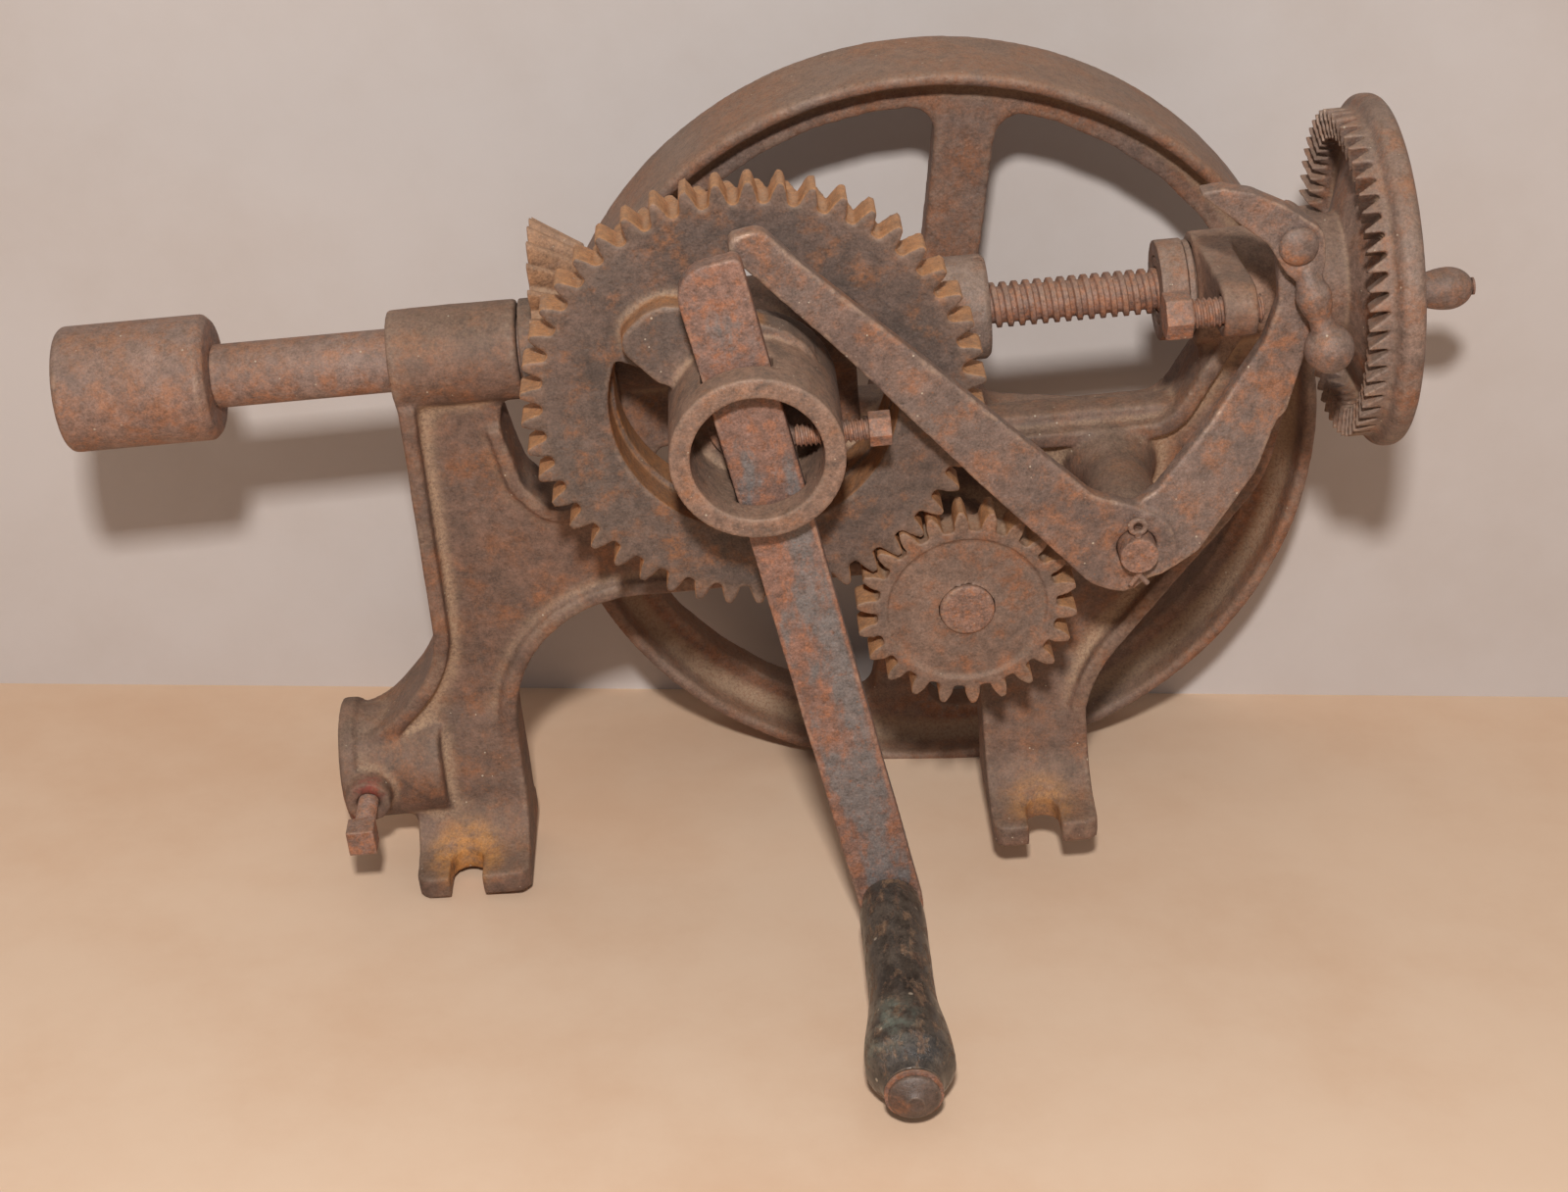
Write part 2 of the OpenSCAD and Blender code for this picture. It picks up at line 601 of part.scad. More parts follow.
module crank_gear() color(iron) difference() {
    union() {
        difference() {
            union() {
                side(gear_back_x, gear_front_x) translate([spindle_y, crank_z])
                    rotate(gear_phase) polygon(spur(gear_teeth));
                bevel_ring();
            }
            rod_x(gear_back_x - 2 * cut, gear_front_x + cut, window_r, spindle_y, crank_z);
            rod_x(0, gear_back_x, window_r - 2, spindle_y, crank_z);
        }
        side(gear_back_x, gear_front_x) translate([spindle_y, crank_z]) intersection() {
            circle(r = window_r + 4);
            union() {
                polygon([[0, 0], [-90, -3], [-90, -70], [-40, -90]]);
                rotate(-2) translate([0, -18]) square([90, 36]);
            }
        }
        side(gear_front_x - cut, cam_front_x) translate([spindle_y, crank_z]) polygon(rounded(
            [for (p = cam_points) [p[1] * cos(p[0]), p[1] * sin(p[0]), 9]], 4));
        rod_x(gear_back_x, hub_front_x, hub_r, spindle_y, crank_z);
        rod_x(stud_boss_x + gap, gear_back_x + cut, back_hub_r, spindle_y, crank_z);
    }
    rod_x(stud_boss_x, hub_floor_x + cut, stud_r + fit, spindle_y, crank_z);
    rod_x(hub_floor_x, hub_front_x + cut, hub_hollow_r, spindle_y, crank_z);
    bar_opening();
    translate([bar_mid_x, spindle_y, crank_z + hub_hollow_r / 2]) cylinder(h = hub_r, r = bar_screw_r + fit);
}

module bar_set_screw() color(rust) {
    translate([bar_mid_x, spindle_y, bar_screw_tip])
        cylinder(h = bar_screw_head_z - bar_screw_tip, r = bar_screw_r);
    translate([bar_mid_x, spindle_y, bar_screw_head_z]) hex_z(bar_screw_head_h, 7.33);
}

module on_bar() {
    translate([0, spindle_y, crank_z]) rotate([bar_angle, 0, 0]) children();
}

module crank_bar() color(steel) on_bar() difference() {
    side(bar_back_x, bar_front_x) polygon(rounded([[-bar_tail, -bar_w / 2, 16],
        [-bar_tail, bar_w / 2, 4], [crank_radius + 15, bar_w / 2, 9], [crank_radius + 15, -bar_w / 2, 9]]));
    rod_x(bar_back_x - cut, bar_front_x + cut, grip_bolt_r, crank_radius, 0);
}

module grip_bolt() color(rust) on_bar() {
    rod_x(bar_back_x - 2, bar_back_x, grip_bolt_r + 2.5, crank_radius, 0);
    rod_x(bar_back_x, grip_x1 + grip_washer_t + gap, grip_bolt_r, crank_radius, 0);
    turned_x(grip_x1 + grip_washer_t + gap, crank_radius, 0,
        [[0, 0.55 * grip_r], [1.5, 0.55 * grip_r], [6.5, 0.2 * grip_r]], 8);
}

module grip_washer() color(rust) on_bar() difference() {
    rod_x(grip_x1 + gap, grip_x1 + gap + grip_washer_t, 0.62 * grip_r, crank_radius, 0);
    rod_x(grip_x1, grip_x1 + gap + grip_washer_t + cut, grip_bolt_r, crank_radius, 0);
}

module crank_grip() color(wood) on_bar() difference() {
    turned_x(grip_x0, crank_radius, 0, [[0, 0.684 * grip_r], [0.1 * grip_l, 0.776 * grip_r],
        [0.47 * grip_l, 0.745 * grip_r], [0.87 * grip_l, grip_r], [grip_l, 0.64 * grip_r]], 26);
    rod_x(grip_x0 - cut, grip_x1 + cut, grip_bolt_r + fit, crank_radius, 0);
}

// Opening between two spokes, with wide rounded corners
function spoke_opening() =
    let(inner = flywheel_hub_r + 12, outer = flywheel_r - rim_t - rim_ledge, taper = 1.5,
        a0 = asin(spoke_w / 2 / outer), step = (90 - 2 * a0) / 8)
    rounded(concat([[spoke_w / 2 - taper, spoke_w / 2 - taper, inner / 2]],
        [[outer * cos(a0), outer * sin(a0), 22]],
        [for (i = [1 : 7]) [outer * cos(a0 + step * i), outer * sin(a0 + step * i)]],
        [[outer * sin(a0), outer * cos(a0), 22]]));

module flywheel() color(iron) difference() {
    union() {
        translate([0, shaft_y, shaft_z]) rotate([0, 90, 0]) rotate_extrude($fn = 128)
            polygon([for (p = [[0, 1.5], [1.5, 0], [rim_t - 1.5, 0], [rim_t, 1.5], [rim_t, 8],
                [rim_t + 1, rim_w / 2 - 13], [rim_t + 5, rim_w / 2 - 9], [rim_t + 5, rim_w / 2 + 9],
                [rim_t + 1, rim_w / 2 + 13], [rim_t, rim_w - 8], [rim_t, rim_w - 1.5],
                [rim_t - 1.5, rim_w], [1.5, rim_w], [0, rim_w - 1.5]])
                [flywheel_r - p[0], flywheel_front_x - p[1]]]);
        side(flywheel_mid_x - spoke_t / 2, flywheel_mid_x + spoke_t / 2)
            translate([shaft_y, shaft_z]) difference() {
                circle(r = flywheel_r - rim_t);
                for (a = [0 : 90 : 270])
                    rotate(a + spoke_turn) polygon(spoke_opening());
            }
        rod_x(flywheel_hub_x0, flywheel_hub_x1, flywheel_hub_r, shaft_y, shaft_z);
    }
    rod_x(flywheel_hub_x0 - cut, flywheel_hub_x1 + cut, shaft_r, shaft_y, shaft_z);
    flywheel_keyway();
}

module flywheel_keyway() {
    translate([flywheel_hub_x0, shaft_y - shaft_r - key_w / 2, shaft_z - key_w / 2])
        cube([flywheel_hub_x1 - flywheel_hub_x0 - 6, key_w, key_w]);
}

module flywheel_shaft() color(steel) difference() {
    rod_x(flywheel_hub_x0 - 5, gear_front_x + 0.3, shaft_r, shaft_y, shaft_z);
    flywheel_keyway();
}

module flywheel_key() color(steel) flywheel_keyway();

module pinion() color(iron) difference() {
    union() {
        side(gear_back_x, gear_front_x) translate([shaft_y, shaft_z])
            rotate(pinion_phase) polygon(spur(pinion_teeth));
        rod_x(shaft_boss_x1 + gap, gear_back_x + cut, shaft_boss_r - 3, shaft_y, shaft_z);
    }
    rod_x(shaft_boss_x1, gear_front_x + cut, shaft_r, shaft_y, shaft_z);
    difference() {
        rod_x(gear_front_x - 1.5, gear_front_x + cut, pinion_r - 9.5, shaft_y, shaft_z);
        rod_x(gear_front_x - 2, gear_front_x + cut, shaft_r + 0.01, shaft_y, shaft_z);
    }
}

module bevel_gear() color(iron) difference() {
    union() {
        translate([0, spindle_y, bevel_z]) linear_extrude(ring_r * (1 - cone_scale), scale = cone_scale)
            rotate(180 / bevel_teeth) polygon(bevel(bevel_teeth, bevel_r, ring_r));
        rod_z(bevel_z - bevel_hub_l, bevel_z + cut, bevel_hub_r);
    }
    rod_z(bevel_z - bevel_hub_l - cut, crank_z, spindle_r + fit);
    bevel_key();
}

// Feather key between the bevel gear and the spindle, on the flywheel side
module bevel_key() color(steel)
    translate([-spindle_r - key_w / 2, spindle_y - key_w / 2, bevel_z - bevel_hub_l + 2])
        cube([key_w, key_w, 26]);

module spindle() color(rust) difference() {
    union() {
        rod_z(chuck_z1, spindle_top, spindle_r);
        rod_z(chuck_z1 - spindle_nose_l, chuck_z1 + cut, spindle_nose_r);
    }
    translate([-spindle_r - cut, spindle_y - key_w / 2 - gap, bevel_z - bevel_hub_l - spindle_travel - 2])
        cube([key_w / 2 + gap + cut, key_w + 2 * gap, spindle_travel + 34]);
}

module thrust_collar() color(steel) difference() {
    rod_z(collar_z0, collar_z0 + thrust_collar_l, thrust_collar_r);
    rod_z(collar_z0 - cut, collar_z0 + thrust_collar_l + cut, spindle_r);
}

module chuck() color(iron) difference() {
    translate([0, spindle_y, 0]) rotate_extrude() polygon([[0, chuck_z0], [chuck_r - 2, chuck_z0],
        [chuck_r, chuck_z0 + 2], [chuck_r, chuck_z1 - 3], [chuck_r - 3, chuck_z1], [0, chuck_z1]]);
    rod_z(chuck_z0 - cut, chuck_z0 + shank_depth, shank_r);
    rod_z(chuck_z1 - spindle_nose_l, chuck_z1 + cut, spindle_nose_r);
    rod_x(-chuck_r - cut, 0, chuck_screw_r + fit, spindle_y, chuck_screw_z);
}

module chuck_set_screw() color(rust) {
    rod_x(-chuck_r - 3, -shank_r - gap, chuck_screw_r, spindle_y, chuck_screw_z);
    translate([-chuck_r - 11, spindle_y - 5, chuck_screw_z - 5]) cube([8, 10, 10]);
}

// Ring grooves stand for the thread, at the real pitch
module feed_screw() color(rust) {
    grooves = floor((feed_screw_top - 4 - thrust_z1) / feed_pitch);
    depth = feed_pitch * 0.4;
    difference() {
        translate([0, spindle_y, thrust_z1]) rotate_extrude() polygon(concat([[0, 0], [feed_screw_r, 0]],
            [for (i = [0 : grooves - 1]) each [for (p = [[0, 0.45], [-depth, 0.55], [-depth, 0.9], [0, 1]])
                [feed_screw_r + p[0], (i + p[1]) * feed_pitch + 1]]],
            [[feed_screw_r, feed_screw_top - thrust_z1 - 1], [feed_screw_r - 1, feed_screw_top - thrust_z1],
                [0, feed_screw_top - thrust_z1]]));
        thrust_pin_hole();
    }
    difference() {
        rod_z(thrust_z1 - thrust_roof, thrust_z1 + 0.5, journal_r);
        thrust_pin_hole();
    }
}

module thrust_pin_hole() {
    translate([0, spindle_y, thrust_z1 - thrust_roof / 2]) rotate([90, 0, 0])
        cylinder(h = 2 * thrust_r + 2, r = 2, center = true);
}

module thrust_head() color(iron) difference() {
    translate([0, spindle_y, thrust_z0]) rotate_extrude() polygon([[spindle_r + gap, 0], [thrust_r, 0],
        [thrust_r, thrust_l - 2], [thrust_r - 2, thrust_l], [journal_r, thrust_l],
        [journal_r, thrust_l - thrust_roof], [thrust_collar_r + gap, thrust_l - thrust_roof],
        [thrust_collar_r + gap, thrust_floor], [spindle_r + gap, thrust_floor]]);
    thrust_pin_hole();
}

module thrust_pin() color(steel)
    translate([0, spindle_y, thrust_z1 - thrust_roof / 2]) rotate([90, 0, 0])
        cylinder(h = 2 * thrust_r - 1, r = 2, center = true);

// One crown tooth, larger at the rim than at its inner end
module crown_tooth() {
    inner = wheel_r - wheel_band + 0.5;
    outer = wheel_tooth_r;
    w = 2 * PI * outer / wheel_teeth * 0.97;
    translate([outer, 0, wheel_root_z + 0.5]) rotate([90, 0, -90])
        linear_extrude(outer - inner, scale = inner / outer)
            polygon([[-w / 2, 0], [-w / 2, -wheel_tooth_h - 0.5], [-w / 2 + 1, -wheel_tooth_h - 0.5],
                [w / 2, -1], [w / 2, 0]]);
}

module feed_wheel() color(iron) translate([0, spindle_y, 0]) difference() {
    union() {
        rotate_extrude($fn = 128) polygon(rounded([[wheel_r - wheel_band, wheel_root_z],
            [wheel_tooth_r, wheel_root_z], [wheel_r, wheel_root_z + 3.5, 5], [wheel_r, wheel_back_z, 10],
            [wheel_r - 10, wheel_back_z, 6], [wheel_r - wheel_band, wheel_back_z - 5]], 4));
        translate([0, 0, wheel_web_z]) cylinder(h = wheel_web_t, r = wheel_r - wheel_band + 2);
        translate([0, 0, wheel_root_z - 9])
            cylinder(h = wheel_web_z - wheel_root_z + 10, r1 = wheel_hub_r, r2 = wheel_r - wheel_band - 2);
        translate([0, 0, upper_boss_z1 + gap]) cylinder(h = wheel_back_z - upper_boss_z1 - gap, r = wheel_hub_r);
        translate([0, 0, retain_z0]) cylinder(h = wheel_back_z - retain_z0 - 2, r = sleeve_r);
        for (i = [0 : wheel_teeth - 1])
            rotate(360 / wheel_teeth * i) crown_tooth();
    }
    translate([0, 0, retain_z0 - cut]) cylinder(h = wheel_back_z - retain_z0 + 2 * cut, r = feed_screw_r + fit);
    translate([knob_x, knob_y, wheel_web_z]) cylinder(h = wheel_web_t + cut, r = knob_stud_r);
}

module retaining_collar() color(iron) difference() {
    rod_z(retain_z0, retain_z1, collar_r);
    rod_z(retain_z0 - cut, retain_z1 + cut, sleeve_r);
}

module knob_stud() color(steel) {
    rod_z(wheel_web_z, knob_gap_z + knob_l + 0.5, knob_stud_r, knob_x, knob_y);
    rod_z(wheel_web_z + wheel_web_t, knob_gap_z - gap, knob_stud_r + 2.5, knob_x, knob_y);
    rod_z(knob_gap_z + knob_l + gap, knob_gap_z + knob_l + 1.3, knob_stud_r + 1, knob_x, knob_y);
}

// Slim at the wheel, egg-shaped at its free end
module wheel_knob() color(rust) difference() {
    belly = knob_l - 11;
    egg = (knob_l - belly) / 0.917;
    translate([knob_x, spindle_y + knob_y, knob_gap_z]) rotate_extrude() polygon(concat([[0, 0]],
        [for (i = [0 : 12]) [curve([[0, 5.5], [0.25 * belly, 5], [belly, knob_r]], belly * i / 12),
            belly * i / 12]],
        [for (i = [1 : 8]) [knob_r * sqrt(1 - pow(0.917 * i / 8, 2)), belly + egg * 0.917 * i / 8]],
        [[0, knob_l]]));
    rod_z(knob_gap_z - cut, knob_gap_z + knob_l + cut, knob_stud_r + fit, knob_x, knob_y);
}

// Long arm to the cam, short arm to the pawl, drawn around the pivot
cam_arm = [[-154, -160, 2], [-162, -160, 5], [-164, -146, 8], [-152, -136, 8], [-80, -67],
    [-27, -17, 10], [-18, 4, 10], [8, 15, 12], [24, -4, 12], [16, -20, 12], [-43, -69], [-110, -122]];
pawl_arm = [[-24, -16, 8], [-18, -2, 8], [-25, 10], [-51, 33], [-69, 46, 4], [-66, 70, 8], [-27, 53, 16],
    [6, 27, 12], [16, 8, 12], [10, -8]];
pawl_plate = [[-66, 44, 4], [-84, 56, 4], [-101, 61.5, 4], [-138, 60, 4], [-145, 65, 5], [-138, 73, 5],
    [-120, 77, 8], [-90, 77], [-50, 66, 8], [-46, 60]];

module feed_lever() color(steel) difference() {
    translate([0, -pivot_y, pivot_z]) union() {
        translate([lever_front_x, 0, 0]) rotate([0, -lever_arm_slope, 0]) side(-lever_t, 0)
            polygon(rounded(cam_arm));
        translate([lever_front_x, 0, 0]) rotate(a = -lever_tip_slope, v = [0, 0.5146, 0.8574])
            side(-lever_t, 0) polygon(rounded(pawl_arm));
        side(lever_tip_x - lever_t, lever_tip_x) polygon(rounded(pawl_plate));
        rod_x(lever_hub_back_x, lever_front_x, lever_hub_r, 0, 0);
    }
    rod_x(lever_hub_back_x - cut, lever_front_x + 4, pivot_r + fit, -pivot_y, pivot_z);
    rod_x(lever_tip_x - lever_t - cut, lever_tip_x + cut, rivet_r, rivet_y, rivet_z);
}

module pawl_rivet() color(rust) {
    rod_x(lever_tip_x - lever_t, pawl_front_x + gap + 0.5, rivet_r, rivet_y, rivet_z);
    translate([pawl_front_x + gap, rivet_y, rivet_z]) rotate([0, 90, 0]) rotate_extrude() polygon(concat([[0, 0]],
        [for (a = [0 : 15 : 75]) [rivet_head_r * cos(a), rivet_head_r * 0.5 * sin(a) + 0.5]],
        [[0, rivet_head_r * 0.5 + 0.5]]));
}

// Finger to the left and arm to the ball, drawn around the rivet
pawl_outline = [[-26, -41, 1.5], [-21, -35, 6], [-12, -25, 6], [-1, -12, 5], [12, -5, 6], [19, 2, 4],
    [17, 10, 4], [8, 11.5, 5], [-5, 11, 10], [-17, -5], [-24, -18], [-27, -30]];
pawl_arm_start = [10, 3];
pawl_arm_end = [46, 13];
pawl_arm_shape = [[0, 4], [4, 4.6], [8, 6], [13, 7.6], [18, 6.8], [24, 5], [30, 5.4], [37, 7]];

// Neck, knuckle and waist between the plate of the pawl and its ball
module turned_arm() {
    start_x = pawl_back_x + 0.75 * pawl_t;
    run = pawl_arm_end - pawl_arm_start;
    reach = norm([ball_x - start_x, run[0], run[1]]);
    translate([start_x, pawl_arm_start[0], pawl_arm_start[1]]) rotate([atan2(run[1], run[0]) - 90, 0, 0])
        rotate([0, asin((ball_x - start_x) / reach), 0]) rotate_extrude() polygon(concat([[0, 0]],
            [for (i = [0 : 18]) [curve(pawl_arm_shape, 2 * i), 2 * i]], [[0, 36]]));
}

module feed_pawl() color(steel) difference() {
    translate([0, rivet_y, rivet_z]) union() {
        side(pawl_back_x, pawl_front_x) polygon(rounded(pawl_outline, 4));
        turned_arm();
        translate([ball_x, pawl_arm_end[0], pawl_arm_end[1]]) sphere(r = pawl_ball_r);
    }
    rod_x(pawl_back_x - cut, pawl_front_x + cut, rivet_r + fit, rivet_y, rivet_z);
}

frame_casting();
arm_set_screw();
lever_pivot_pin();
lever_split_pin();
adjusting_screw();
feed_bushing();
crank_stud();
stud_washer();
stud_split_pin();
crank_gear();
bar_set_screw();
crank_bar();
grip_bolt();
grip_washer();
crank_grip();
flywheel();
flywheel_shaft();
flywheel_key();
pinion();
bevel_gear();
bevel_key();
spindle();
thrust_collar();
chuck();
chuck_set_screw();
feed_screw();
thrust_head();
thrust_pin();
feed_wheel();
retaining_collar();
knob_stud();
wheel_knob();
feed_lever();
pawl_rivet();
feed_pawl();
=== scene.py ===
# %% [markdown]
# # A hand-cranked post drill
#
# The drill is a cast-iron machine with a long life in a damp shed behind it: brown
# patina, orange rust in the gear teeth, dust in the corners and bare metal where hands
# and other parts rub. It lies on its back, as somebody put it down, so the direction
# that is up in the picture is the one that points away from the post in use.
#
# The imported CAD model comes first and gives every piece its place. Nothing in this
# script moves it. Pieces that need rounder edges or a real thread are made over it.

# %% Load the frame
import json
import math

import bmesh
import bpy
import numpy as np
from mathutils import Matrix, Vector
from mathutils.kdtree import KDTree

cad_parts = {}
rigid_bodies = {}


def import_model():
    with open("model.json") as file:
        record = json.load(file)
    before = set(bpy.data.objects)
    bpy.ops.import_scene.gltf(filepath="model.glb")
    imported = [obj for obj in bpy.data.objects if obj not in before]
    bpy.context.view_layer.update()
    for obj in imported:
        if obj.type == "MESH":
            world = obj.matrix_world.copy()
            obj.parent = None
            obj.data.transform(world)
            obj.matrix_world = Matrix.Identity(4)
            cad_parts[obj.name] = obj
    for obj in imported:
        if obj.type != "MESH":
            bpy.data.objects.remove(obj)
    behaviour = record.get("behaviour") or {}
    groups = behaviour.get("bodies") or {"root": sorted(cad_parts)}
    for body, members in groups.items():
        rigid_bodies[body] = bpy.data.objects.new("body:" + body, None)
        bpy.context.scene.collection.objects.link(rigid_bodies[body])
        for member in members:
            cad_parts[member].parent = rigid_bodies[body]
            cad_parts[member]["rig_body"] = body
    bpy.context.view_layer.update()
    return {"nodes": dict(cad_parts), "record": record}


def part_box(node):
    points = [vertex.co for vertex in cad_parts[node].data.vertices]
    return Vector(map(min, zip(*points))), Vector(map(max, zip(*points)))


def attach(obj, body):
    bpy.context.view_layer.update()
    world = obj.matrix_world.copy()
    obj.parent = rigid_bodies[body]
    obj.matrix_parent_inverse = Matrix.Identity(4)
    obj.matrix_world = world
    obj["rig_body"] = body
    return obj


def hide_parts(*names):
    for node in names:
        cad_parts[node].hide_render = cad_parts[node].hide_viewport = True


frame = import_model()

# %% [markdown]
# ## Camera
#
# The camera stands where the photographer stood. Its place was solved from the crank
# gear, the flywheel and the spindle, whose real shapes are known circles and lines.
# Three unit vectors say which way its right, its up and its back point in the drill's
# own frame, and they are the columns of its matrix.

# %% Camera
IMAGE_W, IMAGE_H = 1600, 1216
FOCAL_PX = 2669.0
camera_place = Vector((1.0515, -0.7307, 0.0332))
camera_right = Vector((0.03922, 0.08171, 0.99588)).normalized()
camera_back = Vector((0.86344, -0.50437, 0.00738)).normalized()
camera_up = camera_back.cross(camera_right)

camera_data = bpy.data.cameras.new("camera")
camera_data.sensor_width = 36.0
camera_data.lens = 36.0 * FOCAL_PX / IMAGE_W
camera = bpy.data.objects.new("camera", camera_data)
camera.matrix_world = Matrix.Translation(camera_place) @ Matrix(
    (camera_right, camera_up, camera_back)).transposed().to_4x4()
bpy.context.scene.collection.objects.link(camera)
bpy.context.scene.camera = camera
print("lens %.2f mm" % camera_data.lens)

# %% [markdown]
# ## Floor, wall and light
#
# The drill rests on the flywheel's rim, one foot and the grip. Those three points give
# the plane of the floor. A ray through a pixel, cut with that plane, tells where the
# wall stands behind. Both are plain and pale, and both vanish when they are seen from
# behind, so that the other views look past them.

# %% Floor and wall
FLOOR_NORMAL = Vector((-0.110, -1.0, 0.093)).normalized()
FLOOR_POINT = Vector((0.0, 0.0209, 0.0))


def floor_at(px, py):
    """Point of the floor that the camera sees in a pixel of the photograph."""
    ray = (camera_right * (px - IMAGE_W / 2) / FOCAL_PX
           - camera_up * (py - IMAGE_H / 2) / FOCAL_PX - camera_back)
    reach = (FLOOR_POINT - camera_place).dot(FLOOR_NORMAL) / ray.dot(FLOOR_NORMAL)
    return camera_place + ray * reach


WALL_FOOT_LEFT, WALL_FOOT_RIGHT = (0, 697), (1599, 711)   # pixels of the photograph
wall_left, wall_right = floor_at(*WALL_FOOT_LEFT), floor_at(*WALL_FOOT_RIGHT)
along_wall = (wall_right - wall_left).normalized()
towards_us = FLOOR_NORMAL.cross(along_wall)
if towards_us.dot(camera_place - wall_left) < 0:
    towards_us = -towards_us
wall_middle = (wall_left + wall_right) / 2
print("the wall stands %.2f m from the camera" % (wall_middle - camera_place).length)


def sheet_of(name, corner, side_a, side_b, facing):
    """Flat four-sided sheet whose face looks the way of facing."""
    points = [corner, corner + side_a, corner + side_a + side_b, corner + side_b]
    if side_a.cross(side_b).dot(facing) < 0:
        points.reverse()
    mesh = bpy.data.meshes.new(name)
    mesh.from_pydata([tuple(p) for p in points], [], [(0, 1, 2, 3)])
    sheet = bpy.data.objects.new(name, mesh)
    bpy.context.scene.collection.objects.link(sheet)
    return sheet


STAGE_W, FLOOR_D, WALL_H = 8, 4, 3   # metres
corner = wall_middle - along_wall * (STAGE_W / 2)
floor = sheet_of("floor", corner, along_wall * STAGE_W, towards_us * FLOOR_D, FLOOR_NORMAL)
wall = sheet_of("wall", corner, along_wall * STAGE_W, FLOOR_NORMAL * WALL_H, towards_us)

# %% [markdown]
# The floor's material mixes an ordinary matt surface with a see-through one. Geometry's
# Backfacing decides which is met, and it stays in the material.
# A colour is written the way a picture stores it and turned into the linear value that
# the shader wants.

# %% Small helpers for node trees


def paint(red, green_and_highlight, blue):
    """Linear colour of a picture colour given as three numbers to 255."""
    def linear(v):
        v /= 255
        return v / 12.92 if v <= 0.04045 else ((v + 0.055) / 1.055) ** 2.4
    return (linear(red), linear(green_and_highlight), linear(blue), 1.0)


def put(tree, kind, settings=None, **values):
    """New node whose inputs are set or linked by name; settings are its own properties."""
    node = tree.nodes.new(kind)
    for key, value in (settings or {}).items():
        setattr(node, key, value)
    for key, value in values.items():
        wire(tree, value, node.inputs[key.replace("_", " ")])
    return node


def wire(tree, value, socket):
    """Links an output to a socket, or sets the socket to a plain value."""
    if isinstance(value, bpy.types.NodeSocket):
        tree.links.new(value, socket)
    else:
        socket.default_value = value


def maths(tree, operation, a, b=0.0, clamp=False):
    """Result of a Math node."""
    node = put(tree, "ShaderNodeMath", {"operation": operation, "use_clamp": clamp})
    wire(tree, a, node.inputs[0])
    if len(node.inputs) > 1:
        wire(tree, b, node.inputs[1])
    return node.outputs[0]


def blend(tree, factor, a, b, mode="MIX"):
    """Result of mixing colour b over colour a."""
    node = put(tree, "ShaderNodeMix", {"data_type": "RGBA", "blend_type": mode})
    wire(tree, factor, node.inputs[0])
    wire(tree, a, node.inputs[6])
    wire(tree, b, node.inputs[7])
    return node.outputs[2]


def ramp(tree, value, low, high):
    """Value stretched so that low becomes 0 and high becomes 1, with soft ends."""
    return put(tree, "ShaderNodeMapRange", {"interpolation_type": "SMOOTHSTEP"},
               Value=value, From_Min=low, From_Max=high).outputs[0]


def shader_of(name):
    """New material with its node tree, its Principled shader and its output."""
    material = bpy.data.materials.new(name)
    material.use_nodes = True
    tree = material.node_tree
    return material, tree, tree.nodes["Principled BSDF"], tree.nodes["Material Output"]


# %% Materials of the floor and the wall


def stage_finish(name, colour, stain):
    """Matt pale surface with soft stains that is not there when seen from behind."""
    material, tree, shader, output = shader_of(name)
    where = put(tree, "ShaderNodeTexCoord").outputs["Object"]
    cloud = put(tree, "ShaderNodeTexNoise", Vector=where, Scale=5.0, Detail=9.0, Roughness=0.65).outputs[0]
    wire(tree, blend(tree, ramp(tree, cloud, 0.35, 0.75), colour, stain), shader.inputs["Base Color"])
    shader.inputs["Roughness"].default_value = 0.9
    shader.inputs["Specular IOR Level"].default_value = 0.2
    clear = put(tree, "ShaderNodeBsdfTransparent")
    either_side = put(tree, "ShaderNodeMixShader")
    wire(tree, put(tree, "ShaderNodeNewGeometry").outputs["Backfacing"], either_side.inputs[0])
    wire(tree, shader.outputs[0], either_side.inputs[1])
    wire(tree, clear.outputs[0], either_side.inputs[2])
    tree.links.new(either_side.outputs[0], output.inputs["Surface"])
    return material


floor.data.materials.append(stage_finish("floor_board", paint(240, 208, 178), paint(231, 193, 160)))
wall.data.materials.append(stage_finish("wall_board", paint(206, 196, 190), paint(199, 187, 179)))

# %% [markdown]
# The photographer's lamp stood a little behind the camera and above it, so each part
# throws a shadow down onto the wall behind. A lamp in about the same place gives much
# the same shadows, and the world adds an even light from all round. Together they make
# a colour render about as it is written. The world is paler where the camera sees it,
# straight on, mirrored or through something clear.

# %% Lamp and world
target = Vector((0.0, -0.20, 0.04))
LAMP_BACK, LAMP_UP, LAMP_RIGHT = 0.3, 0.26, -0.02   # metres from the camera
LAMP_SIZE, LAMP_POWER = 0.08, 18.8
EVEN_LIGHT, SEEN_LIGHT = 0.21, 0.55


def soft_lamp(name, place, size, power):
    """Square area lamp that looks at the drill."""
    data = bpy.data.lights.new(name, "AREA")
    data.size = size
    data.energy = power
    lamp = bpy.data.objects.new(name, data)
    lamp.matrix_world = Matrix.Translation(place) @ (
        place - target).to_track_quat("Z", "Y").to_matrix().to_4x4()
    bpy.context.scene.collection.objects.link(lamp)
    return lamp


key = soft_lamp("key", camera_place + camera_back * LAMP_BACK + camera_up * LAMP_UP + camera_right * LAMP_RIGHT,
                LAMP_SIZE, LAMP_POWER)

